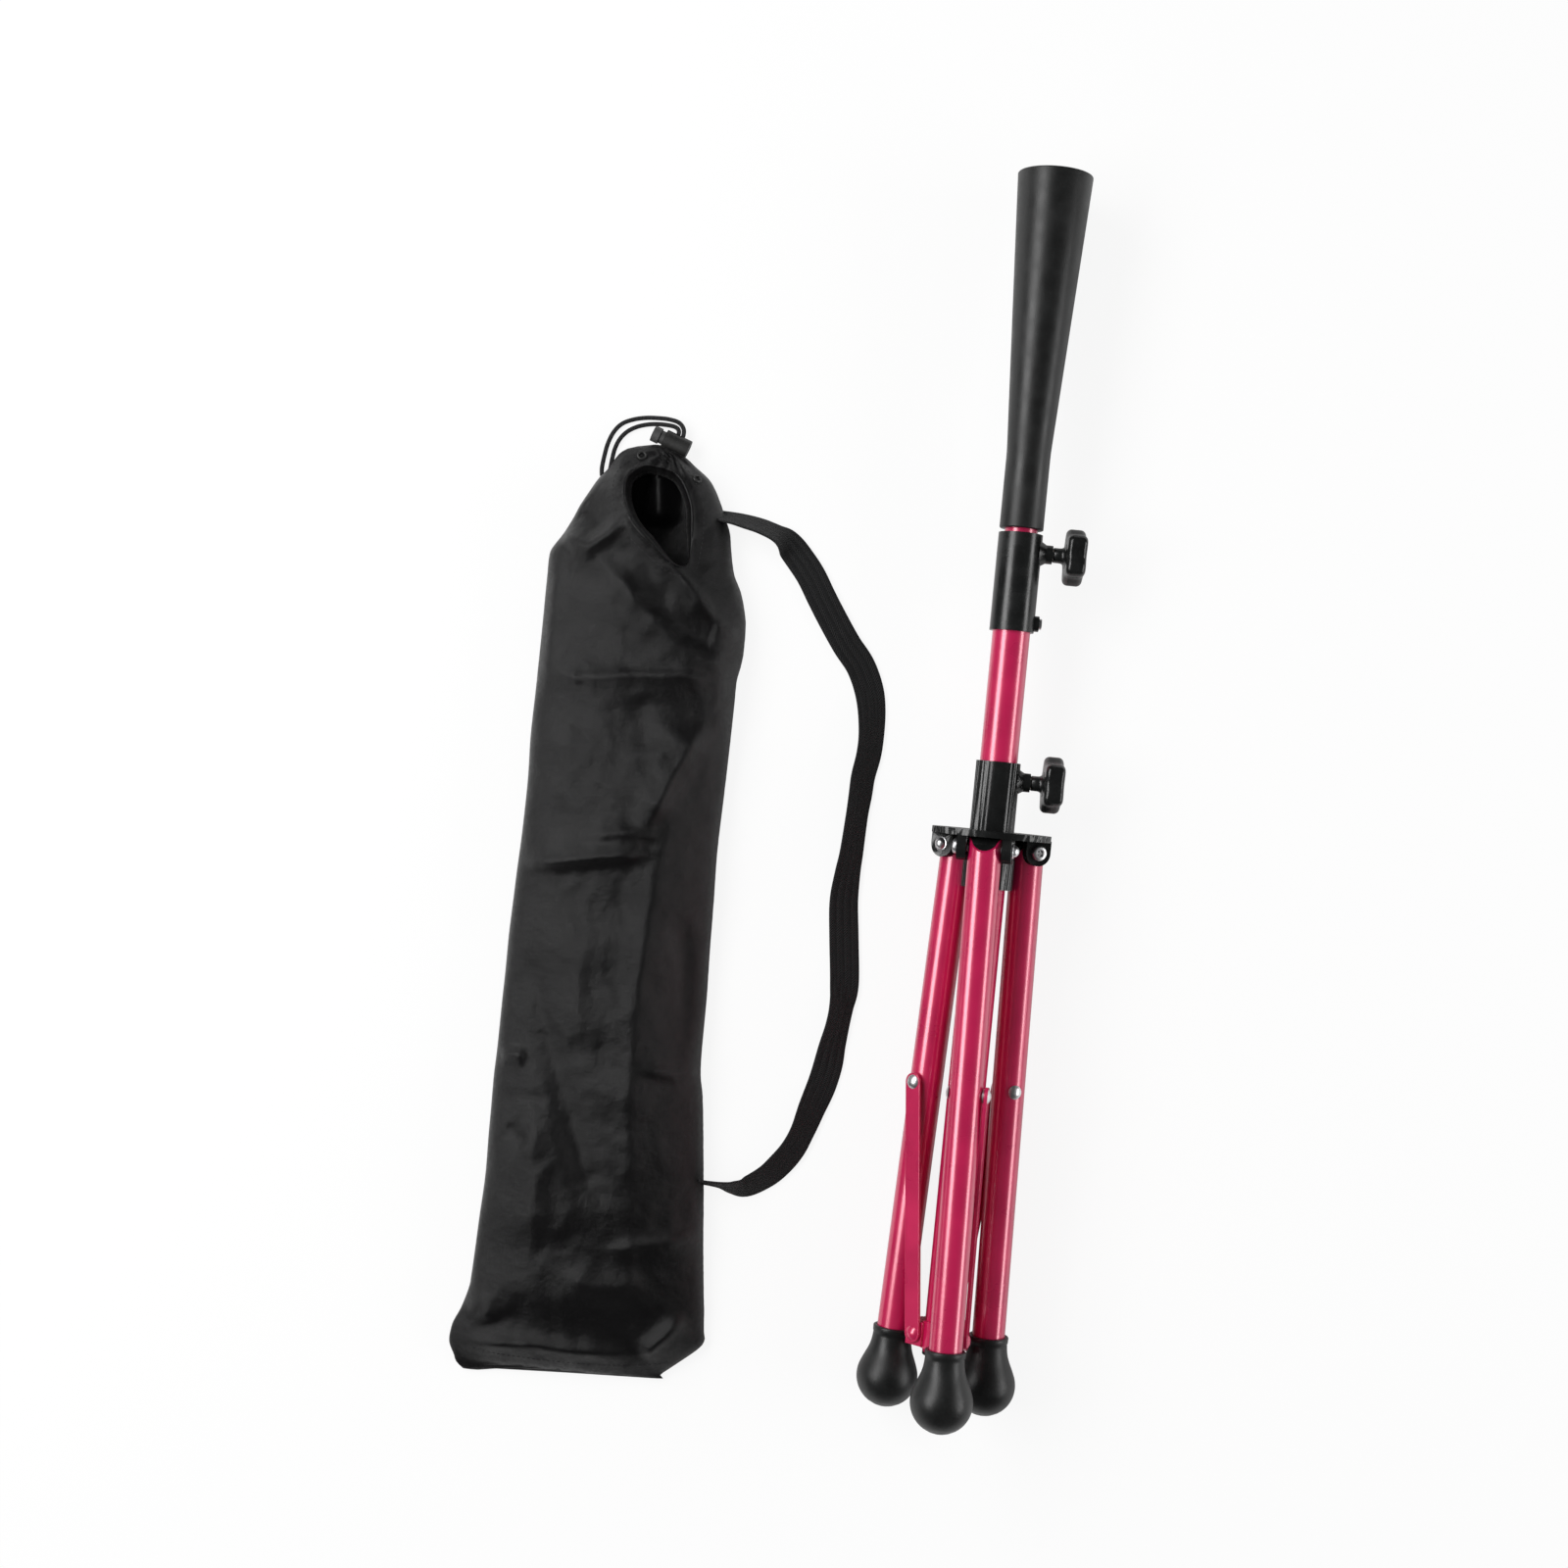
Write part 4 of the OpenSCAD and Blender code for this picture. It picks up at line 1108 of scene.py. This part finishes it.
@dataclass
class BagSurface:
    """The lie of the bag's cloth: its outline, its crown and its folds."""

    stations: tuple[tuple[float, float, float, float], ...] = (
        (-421, -181, -170, 1), (-418, -185, -145, 2), (-415, -187, -50, 4), (-412, -188, -47, 7),
        (-403, -192, -36, 12), (-392, -191.2, -23, 16), (-386, -189, -19.5, 18),
        (-380, -186.3, -20.5, 20), (-366, -182.3, -21.8, 24), (-356, -181.3, -23, 26),
        (-323, -180, -26.5, 28), (-290, -178.5, -29.5, 30), (-256, -179, -33, 31),
        (-223, -179.3, -36.7, 31), (-202, -178.8, -40.1, 30), (-156, -178.5, -40.6, 31),
        (-122, -178.4, -41.6, 32), (-89, -177.4, -42.2, 31), (-56, -176.3, -43.1, 32),
        (-22, -175.9, -42.4, 32), (11, -176.8, -41.7, 32), (44, -176.4, -41.3, 32),
        (61, -176.3, -41.2, 32), (71, -176.3, -39.5, 32), (81, -176.3, -38.5, 32),
        (98, -176.2, -38.8, 32), (108, -176.2, -40.4, 32), (121, -176.2, -44.3, 32),
        (131, -176.2, -49.3, 32), (138, -174.9, -51.4, 31), (149, -167.9, -53.6, 30),
        (160, -162.5, -55.5, 29), (169, -158.8, -59.1, 28), (179, -153.4, -63.4, 27),
        (188.5, -147.8, -68.3, 24), (195.5, -142, -73.6, 21), (202.5, -138, -83, 17),
        (208, -133.8, -90, 13), (211.7, -127, -99, 9), (214.5, -114, -106, 5),
    )
    seam: float = 3.4
    rest: float = 0.9
    lock_point: Point = (-100.0, 212.0)
    fold_gain: float = 2.2
    gathers: float = 13.0
    gather_height: float = 2.4
    gather_reach: float = 26.0
    swell: float = 1.1
    crease: float = 0.75
    pucker: float = 0.22
    fullness: float = 0.46
    end_reach: float = 9.0
    floor_share: float = 0.7
    inner_rise: float = 4.0
    folds: tuple[Fold, ...] = (
        Fold(((-165, 55), (-146, 52), (-114, 57), (-75, 60), (-48, 57)), 1.8, 3, 9),
        Fold(((-176, -77), (-144, -71), (-115, -65), (-88, -61)), 4.2, 15, 3),
        Fold(((-134, -53), (-97, -47), (-80, -49)), 1.6, 6, 3),
        Fold(((-58, 30), (-75, -6), (-91, -46)), 5.0, 6, 28, 2),
        Fold(((-177, -204), (-157, -202)), 2.6, 3, 6),
        Fold(((-36, -202), (-55, -206), (-82, -203)), 2.2, 4, 9),
        Fold(((-163, -130), (-141, -196), (-112, -267), (-97, -303)), -2.4, 12, 12, 4),
        Fold(((-71, -10), (-82, -79), (-85, -144), (-85, -210), (-78, -310)), 3.4, 26, 14, 3),
        Fold(((-92, -326), (-54, -318), (-26, -311)), 2.6, 5, 12),
        Fold(((-184, -377), (-171, -371), (-164, -385)), 3.6, 8, 8, 3),
        Fold(((-186, -401), (-160, -398), (-135, -396), (-102, -397), (-63, -397)), 3.2, 6, 8, 2),
        Fold(((-62, -398), (-33, -368)), 4.0, 6, 9, 2),
        Fold(((-140, 134), (-112, 107), (-82, 81), (-41, 62)), 3.8, 7, 20, 2),
        Fold(((-124, 161), (-134, 149), (-148, 139), (-162, 145), (-167, 139)), 4.2, 7, 11, 2),
        Fold(((-169, 129), (-170, 83), (-168, 40)), 2.6, 9, 7, 2),
        Fold(((-55, 95), (-46, 17)), 2.4, 16, 9, 3),
        Fold(((-136, 149), (-150, 164), (-157, 168)), -3.4, 8, 8, 3),
        Fold(
            ((-134, 205), (-130, 175), (-122, 159), (-104, 142), (-85, 127), (-62, 104), (-44, 88)),
            5.0, 5, 9, 2,
        ),
        Fold(((-113, 115), (-78, 90), (-53, 76)), -1.6, 9, 9, 3),
        Fold(((-60, 96), (-42, 90)), 2.0, 3, 7),
        Fold(((-150, -230), (-140, -330)), 2.4, 14, 14, 4),
        Fold(((-120, -110), (-128, -170), (-118, -196)), 1.2, 14, 14, 5),
        Fold(((-60, -95), (-52, -190)), -2.2, 9, 12, 3),
        Fold(((-150, 20), (-150, -40)), 1.8, 16, 14, 4),
        Fold(((-120, -345), (-90, -352), (-62, -345)), 1.8, 9, 9, 3),
        Fold(((-166, -250), (-150, -262)), -1.8, 6, 6, 2),
        Fold(((-104, 45), (-96, 5)), -1.6, 12, 16, 4),
    )
    inner_pleat: Fold = Fold(((-108, 206), (-105, 178), (-103, 160)), 9.0, 7, 5, 2)
    inner_valley: Fold = Fold(((-92, 200), (-90, 137)), -2.0, 6, 6, 2)

    def __post_init__(self) -> None:
        """Samples the outline smoothly, so that any place can be looked up."""
        track = smooth_track(self.stations, 480)
        self.track = track[np.argsort(track[:, 0])]

    def sides(self, y: np.ndarray) -> tuple[np.ndarray, np.ndarray, np.ndarray]:
        """Left edge, right edge and crown at each Y."""
        return tuple(np.interp(y, self.track[:, 0], self.track[:, k]) for k in (1, 2, 3))

    def crossing(self, x: np.ndarray, y: np.ndarray) -> tuple[np.ndarray, np.ndarray]:
        """Share of the way from the middle to the edge, and the crown, at each place."""
        left, right, crown = self.sides(y)
        across = np.clip((x - (left + right) / 2) / ((right - left) / 2), -1, 1)
        return across, crown

    def gathered(self, x: np.ndarray, y: np.ndarray) -> np.ndarray:
        """Pleats that run out from the cord lock."""
        off_x, off_y = x - self.lock_point[0], y - self.lock_point[1]
        angle = np.arctan2(off_y, off_x)
        reach = np.hypot(off_x, off_y)
        return self.gather_height * np.cos(self.gathers * angle) * np.exp(-reach / self.gather_reach)

    def crumpled(self, x: np.ndarray, y: np.ndarray) -> np.ndarray:
        """Small uneven waves, the same on each run."""
        rows = [
            self.swell * noise.noise(Vector((a / 46, b / 60, 3.7)))
            + self.crease * (0.5 - abs(noise.noise(Vector((a / 17 + b / 60, b / 26 - a / 70, 9.1)))) * 2)
            + self.pucker * noise.noise(Vector((a / 6.5, b / 7.5, 1.3)))
            for a, b in zip(x.ravel(), y.ravel())
        ]
        return np.array(rows).reshape(x.shape)

    def front(self, x: np.ndarray, y: np.ndarray) -> np.ndarray:
        """Height of the front panel at each place."""
        across, crown = self.crossing(x, y)
        hold = 1 - np.abs(across) ** 7
        from_ends = (y - self.track[0, 0], self.track[-1, 0] - y)
        end = np.clip(from_ends[0] / self.end_reach, 0, 1) * np.clip(from_ends[1] / self.end_reach, 0, 1)
        lift = self.seam_at(y) + crown * (1 - across**2) ** self.fullness
        creases = self.fold_gain * sum(fold.lift(x, y) for fold in self.folds)
        extra = creases + self.gathered(x, y) + self.crumpled(x, y)
        floor = self.seam_at(y) * self.floor_share
        return np.maximum(lift + extra * hold * end, floor)

    def back(self, x: np.ndarray, y: np.ndarray) -> np.ndarray:
        """Height of the back panel at each place."""
        across, _ = self.crossing(x, y)
        seam = self.seam_at(y)
        lift = self.rest + (seam - self.rest) * np.abs(across) ** 6
        inner = self.inner_pleat.lift(x, y) + self.inner_valley.lift(x, y)
        ground = np.clip((y - 150) / 60, 0, 1) * self.inner_rise
        return np.maximum(lift + (inner + ground) * (1 - across**6), self.rest)

    def seam_at(self, y: np.ndarray) -> np.ndarray:
        """Height of the side seams, raised towards the cord lock."""
        raised = self.seam + 2.6 * np.clip((y - 165) / 40, 0, 1)
        return raised + 0.5 * np.sin(y / 17) + 0.4 * np.sin(y / 7.3)

    def height(self, x: float, y: float) -> float:
        """Height of the front panel at one place."""
        return float(self.front(np.array([x]), np.array([y]))[0])


@dataclass
class CarryBag:
    """The drawstring bag: one cloth shell with a hemmed mouth."""

    lie: BagSurface = field(default_factory=BagSurface)
    across: int = 76
    along: int = 300
    wall: float = 0.7
    flat_width: float = 0.168
    flat_length: float = 1.30
    flat_area: float = 0.185
    cell: float = 1.1
    hem_steps: tuple[Point, ...] = ((0.9, 1.3), (2.2, 1.0), (3.4, -2.0), (4.6, -6.5), (6.0, -13.0))
    hem_width: float = 6.0
    narrow_end: Point = (-84.0, 129.0)
    narrow_reach: float = 30.0
    bottom_seam: tuple[Point, ...] = ((-182, -403), (-150, -406), (-110, -407), (-70, -406), (-45, -402))
    stitch: tuple[float, float, float] = (3.4, 2.4, 0.55)
    eyelet_radius: float = 2.6
    eyelet_wire: float = 0.8
    mouth_points: tuple[Point, ...] = (
        (-111, 200), (-122, 197), (-129, 188), (-128, 172), (-119, 155), (-103, 141), (-89, 132),
        (-81, 133), (-79, 146), (-79, 161), (-82, 178), (-93, 195),
    )
    eyelets: tuple[Point, ...] = ((-119.0, 205.0), (-80.5, 193.0))

    def panel(self, height: Callable[[np.ndarray, np.ndarray], np.ndarray]) -> Shape:
        """One panel of the bag, mapped in metres."""
        shape = bmesh.new()
        layer = shape.loops.layers.uv.new("map")
        bmesh.ops.create_grid(shape, x_segments=self.across, y_segments=self.along, size=0.5)
        low, high = self.lie.track[0, 0], self.lie.track[-1, 0]
        y = np.array([low + (v.co.y + 0.5) * (high - low) for v in shape.verts])
        left, right, _ = self.lie.sides(y)
        turn = np.array([(v.co.x + 0.5) * math.pi for v in shape.verts])
        x = (left + right) / 2 - (right - left) / 2 * np.cos(turn)
        for vert, a, b, c in zip(shape.verts, x, y, height(x, y)):
            vert.co = Vector((a, b, c)) * MM
        for face in shape.faces:
            for loop in face.loops:
                loop[layer].uv = (loop.vert.co.x, loop.vert.co.y)
        return shape

    def open_mouth(self, shape: Shape, mouth: Outline) -> None:
        """Cuts the mouth out of the front panel and turns its hem in."""
        for vert in shape.verts:
            nearest, reach = mouth.nearest(vert.co.x / MM, vert.co.y / MM)
            if reach < self.cell:
                self.move_to(vert, mouth.points[nearest])
        inside = []
        for face in shape.faces:
            centre = face.calc_center_median() / MM
            if mouth.holds(centre.x, centre.y):
                inside.append(face)
        bmesh.ops.delete(shape, geom=inside, context="FACES")
        rim = []
        for edge in shape.edges:
            if edge.is_boundary:
                reaches = [mouth.nearest(v.co.x / MM, v.co.y / MM)[1] for v in edge.verts]
                if max(reaches) < 4 * self.cell:
                    rim.append(edge)
        for vert in {v for e in rim for v in e.verts}:
            self.move_to(vert, mouth.points[mouth.nearest(vert.co.x / MM, vert.co.y / MM)[0]])
        base = {}
        for inward, drop in self.hem_steps:
            made = bmesh.ops.extrude_edge_only(shape, edges=rim)["geom"]
            for vert in [g for g in made if isinstance(g, bmesh.types.BMVert)]:
                nearest, _ = mouth.nearest(vert.co.x / MM, vert.co.y / MM)
                key = base.setdefault(vert, nearest)
                point, inner = mouth.points[key], mouth.inward[key]
                spot = point + inner * inward * self.room(point)
                rise = self.lie.height(*point) + drop
                vert.co = Vector((spot[0], spot[1], max(rise, 4.0))) * MM
            rim = [g for g in made if isinstance(g, bmesh.types.BMEdge)]

    def room(self, point: np.ndarray) -> float:
        """How much of the hem's depth there is room for: less at the mouth's narrow end."""
        return float(np.clip(math.dist(point, self.narrow_end) / self.narrow_reach, 0.3, 1))

    def move_to(self, vert: bmesh.types.BMVert, point: np.ndarray) -> None:
        """Puts a corner of the cloth at a place, at the cloth's height there."""
        vert.co = Vector((point[0], point[1], self.lie.height(*point))) * MM

    def build(self) -> bpy.types.Object:
        """Makes the bag with its hem stitching and eyelets.

        Returns:
            The bag's cloth.
        """
        mouth = Outline(self.mouth_points)
        front = self.panel(self.lie.front)
        self.open_mouth(front, mouth)
        shape = joined([front, self.panel(self.lie.back)])
        bmesh.ops.remove_doubles(shape, verts=shape.verts, dist=0.35 * MM)
        bmesh.ops.recalc_face_normals(shape, faces=shape.faces)
        bag = piece("bag_cloth", shape, BAG_NYLON, "bag", ["bag_front_panel", "bag_back_panel"], 75)
        wall = bag.modifiers.new("wall", "SOLIDIFY")
        wall.thickness = self.wall * MM
        wall.offset = -1.0
        apply_modifiers(bag)
        bag.data.materials.clear()
        bag.data.materials.append(BAG_NYLON.material())
        self.sew(mouth)
        self.set_eyelets()
        return bag

    def sew(self, mouth: Outline) -> None:
        """Stitches the hem and the bottom seam."""
        hem = mouth.points - mouth.inward * self.hem_width
        lines = (np.vstack([hem, hem[:1]]), smooth_track(self.bottom_seam, 60))
        rows = [stitches(line, *self.stitch, self.lie.height) for line in lines]
        piece("bag_stitching", joined(rows), SEWING_THREAD, "bag")

    def set_eyelets(self) -> None:
        """Sets the two eyelets that the drawcord comes out of."""
        rings = []
        for x, y in self.eyelets:
            wire = arc((self.eyelet_radius, 0.0), self.eyelet_wire, 0, 360, 13)[:-1]
            ring = turned(wire, closed=True, steps=32)
            x_slope = self.lie.height(x + 2, y) - self.lie.height(x - 2, y)
            y_slope = self.lie.height(x, y + 2) - self.lie.height(x, y - 2)
            normal = Vector((-x_slope, -y_slope, 4.0))
            place = Matrix.Translation(Vector((x, y, self.lie.height(x, y) + self.eyelet_wire / 4)) * MM)
            ring.transform(place @ normal.to_track_quat("Z", "Y").to_matrix().to_4x4())
            rings.append(ring)
        piece("bag_eyelets", joined(rings), BARREL_MOULDING, "bag")


@dataclass
class ShoulderStrap:
    """The webbing strap, from one side seam round to the other. Each point has X, Y and roll in degrees."""

    route: Track = (
        (-64, 171, 66), (-54, 170, 62), (-45.5, 168.5, 58), (-34, 166, 55), (-22, 161.5, 48),
        (-13.5, 155, 14), (-6, 147, 5), (2, 137, 3), (10.5, 123, 4), (19.5, 109, 2), (30.5, 93, 3),
        (41, 80, 2), (48, 65.5, 4), (51.5, 51, 18), (53, 34, 30), (52.5, 20, 33), (50, 5, 36),
        (49.3, -7, 38), (48.3, -22, 42), (47.2, -47, 38), (46, -62, 30), (45.5, -81, 14),
        (48, -105, 4), (51.2, -135, 10), (50.5, -151, 34), (49, -165, 36), (47, -179, 25),
        (45.5, -193, 8), (42.5, -207, 6), (37.5, -222, 20), (32.5, -238, 33), (27, -251, 31),
        (19.5, -262, 30), (11, -271, 35), (-1.5, -279, 42), (-11, -280, 58), (-20, -279, 72),
        (-34, -278, 76),
    )
    width: float = 20.0
    thickness: float = 1.5
    length: float = 0.557
    ripples: tuple[Point, Point] = ((0.7, 21), (0.5, 9))
    clearance: float = 0.1

    def build(self) -> None:
        """Makes the strap."""
        track = smooth_track(self.route, 240)
        roll = np.radians(track[:, 2])
        waves = [size * np.sin(np.linspace(0, end, len(track))) ** 2 for size, end in self.ripples]
        ripple = waves[0] + waves[1]
        lift = self.width / 2 * np.sin(roll) + self.thickness / 2 * np.cos(roll) + self.clearance
        lift = lift + ripple * np.cos(roll)
        path = np.column_stack([track[:, 0], track[:, 1], lift])
        count = len(track) - 1

        def section(across: float, along: float) -> tuple[float, float]:
            """Place across the strap, rolled about its middle line, with a slight cup."""
            angle = roll[round(along * count)]
            side = (across - 0.5) * self.width
            cup = 0.5 * (2 * across - 1) ** 2 * math.sin(along * 17) ** 2
            sideways = -side * math.cos(angle) - cup * math.sin(angle)
            return sideways, -side * math.sin(angle) + cup * math.cos(angle)

        shape = swept(path, 12, section, self.width * MM)
        bmesh.ops.recalc_face_normals(shape, faces=shape.faces)
        strap = piece("strap_webbing_band", shape, STRAP_WEBBING, "bag", ["shoulder_strap"], 60)
        band = strap.modifiers.new("band", "SOLIDIFY")
        band.thickness = self.thickness * MM
        band.offset = 0.0
        edges = strap.modifiers.new("selvedge", "BEVEL")
        edges.width = 0.4 * MM
        edges.segments = 2
        edges.limit_method = "ANGLE"
        apply_modifiers(strap)


@dataclass
class Drawcord:
    """The two strands of the drawcord, their lock and their knot. Route points repeat the CAD's."""

    diameter: float = 3.0
    left_route: Track = (
        (-104.5, 203.5, 6.5), (-101.7, 210, 6.5), (-99.1, 217.1, 6.5), (-96.8, 223.2, 6.5),
        (-97, 226.3, 6), (-99.6, 228.4, 5), (-105, 229.3, 4), (-112, 229.5, 2.4),
        (-119, 228.6, 1.6), (-126, 226.3, 1.6), (-132, 222.5, 1.6), (-136.5, 217, 1.6),
        (-139.2, 210, 1.6), (-140.3, 203, 1.6), (-141, 196, 2), (-141.6, 191, 2.8),
    )
    right_route: Track = (
        (-101, 202.5, 6.5), (-98.5, 208.9, 6.5), (-96, 215.9, 6.5), (-93.5, 222.5, 6.5),
        (-93.8, 227.6, 6), (-97.5, 231.6, 5), (-104.5, 233.3, 4), (-113, 233.6, 2.4),
        (-121, 233, 1.6), (-129, 231, 1.6), (-136, 227.5, 1.6), (-141, 221.5, 1.6),
        (-144.3, 213, 1.6), (-146, 203, 1.6), (-146.6, 196, 2), (-146, 191, 2.8),
    )
    left_length: float = 0.096
    right_length: float = 0.111
    knot_centre: tuple[float, float, float] = (-143.8, 187.0, 3.4)

    def strand(self, side: str, route: Places, length: float) -> None:
        path = smooth_track(route, 110)
        shape = round_cord(path, self.diameter)
        made = piece(f"{side}_strand", shape, DRAW_BRAID, "bag", [f"cord_{side}"], 60)
        [c * MM for c in route[0]]

    def knot(self) -> bpy.types.Object:
        """The overhand knot that joins the two strands."""
        turns = np.linspace(0, FULL_TURN, 90)
        path = np.column_stack([
            (np.sin(turns) + 2 * np.sin(2 * turns)) * 1.05,
            (np.cos(turns) - 2 * np.cos(2 * turns)) * 1.25,
            -np.sin(3 * turns) * 1.15,
        ]) + np.array(self.knot_centre) + np.array([0.0, 0.0, 0.4])
        shape = round_cord(path, self.diameter * 0.86, 12)
        return piece("drawcord_knot", shape, DRAW_BRAID, "bag", ["cord_knot"], 60)

    def build(self) -> None:
        """Makes the knot, the lock and the two strands."""
        knot = self.knot()
        barrel = eased_copy("cord_lock_barrel", 0.7, BARREL_MOULDING, "bag")
        button = eased_copy("cord_lock_button", 1.1, LOCK_MOULDING, "lock_button")
        dress_nodes(BRIGHT_ZINC, ["cord_lock_spring"])
        self.strand("left", self.left_route, self.left_length)
        self.strand("right", self.right_route, self.right_length)


# ---------------------------------------------------------------- the studio


@dataclass
class Studio:
    """Camera, lamps and floor: straight above, plain and pale."""

    eye: tuple[float, float, float] = (-0.00265, -0.0053, 1.5995)
    roll: float = 5.58
    lens: float = 54.0
    sensor: float = 36.0
    floor_size: float = 8.0
    key_power: float = 36.0
    fill_power: float = 17.0
    sky: float = 0.35
    mirror_sky: float = 0.05
    floor_glow: float = 0.88
    key_place: tuple[float, float, float] = (-1.25, 0.35, 1.3)
    key_size: Point = (2.2, 0.75)
    fill_place: tuple[float, float, float] = (1.9, -0.1, 0.75)
    fill_size: Point = (1.8, 0.5)

    def set_camera(self) -> None:
        """Sets the camera above the set, looking straight down."""
        camera = bpy.data.cameras.new("overhead_camera")
        camera.lens = self.lens
        camera.sensor_width = self.sensor
        mount = bpy.data.objects.new("overhead_camera", camera)
        mount.location = self.eye
        mount.rotation_euler = (0.0, 0.0, math.radians(self.roll))
        bpy.context.scene.collection.objects.link(mount)
        bpy.context.scene.camera = mount

    def lamp(self, name: str, place: Sequence[float], size: Point, power: float) -> None:
        """Hangs one soft box that faces the middle of the set."""
        light = bpy.data.lights.new(name, "AREA")
        light.shape = "RECTANGLE"
        light.size, light.size_y = size
        light.energy = power
        made = bpy.data.objects.new(name, light)
        made.location = place
        made.rotation_euler = (-Vector(place)).to_track_quat("-Z", "Y").to_euler()
        bpy.context.scene.collection.objects.link(made)

    def lay_floor(self) -> None:
        """Lays a white floor that keeps a faint shadow and shows white in mirrors."""
        shape = bmesh.new()
        bmesh.ops.create_grid(shape, x_segments=2, y_segments=2, size=self.floor_size / 2)
        mesh = bpy.data.meshes.new("floor")
        shape.to_mesh(mesh)
        shape.free()
        floor = bpy.data.objects.new("floor", mesh)
        bpy.context.scene.collection.objects.link(floor)
        graph = ShaderGraph("white_floor")
        graph.shade({"Base Color": (0.86, 0.86, 0.86, 1.0), "Roughness": 0.9, "Specular IOR Level": 0.1})
        glow = graph.add("Emission", {"Color": (1.0, 1.0, 1.0, 1.0), "Strength": 1.0})
        rays = graph.add("LightPath", {})
        share = graph.math("MULTIPLY", rays.outputs["Is Camera Ray"], self.floor_glow)
        mixer = graph.add("MixShader", {0: share})
        graph.feed(mixer.inputs[1], graph.shader.outputs[0])
        graph.feed(mixer.inputs[2], glow.outputs[0])
        graph.feed(graph.tree.nodes["Material Output"].inputs["Surface"], mixer.outputs[0])
        mesh.materials.append(graph.material)

    def light_sky(self) -> None:
        """A plain white world: white to the camera, soft on the set and dim in mirrors."""
        world = bpy.data.worlds.new("white_world")
        world.use_nodes = True
        nodes, links = world.node_tree.nodes, world.node_tree.links
        background = nodes["Background"]
        background.inputs["Color"].default_value = (1.0, 1.0, 1.0, 1.0)
        rays = nodes.new("ShaderNodeLightPath")
        strength: Any = self.sky
        for ray, share in (("Is Camera Ray", 1.0), ("Is Glossy Ray", self.mirror_sky)):
            span = nodes.new("ShaderNodeMix")
            links.new(rays.outputs[ray], span.inputs[0])
            if isinstance(strength, float):
                span.inputs[2].default_value = strength
            else:
                links.new(strength, span.inputs[2])
            span.inputs[3].default_value = share
            strength = span.outputs[0]
        links.new(strength, background.inputs["Strength"])
        bpy.context.scene.world = world

    def build(self) -> None:
        """Sets the lamps, floor and sky."""
        bpy.context.scene.view_settings.view_transform = "Standard"
        self.lamp("key_box", self.key_place, self.key_size, self.key_power)
        self.lamp("fill_box", self.fill_place, self.fill_size, self.fill_power)
        self.lay_floor()
        self.light_sky()


def main() -> None:
    """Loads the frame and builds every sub-assembly around it."""
    logging.basicConfig(level=logging.INFO, format="%(name)s: %(message)s")
    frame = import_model()
    joints = {joint["name"]: joint for joint in frame["joints"]}
    studio = Studio()
    studio.set_camera()
    Drawcord().build()
    tee = TeeFrame.from_cad()
    CupAndInnerTube(tee).build()
    MainTube(tee).build()
    Hub(tee).build()
    for leg in Leg:
        TripodLeg(tee, leg).build()
        Brace(tee, leg).build()
    for level in ("upper", "lower"):
        ClampKnob(tee, level).build(joints[f"{level}_knob_turn"]["pos_m"][1])
    CarryBag().build()
    ShoulderStrap().build()
    studio.build()


if __name__ == "__main__":
    main()
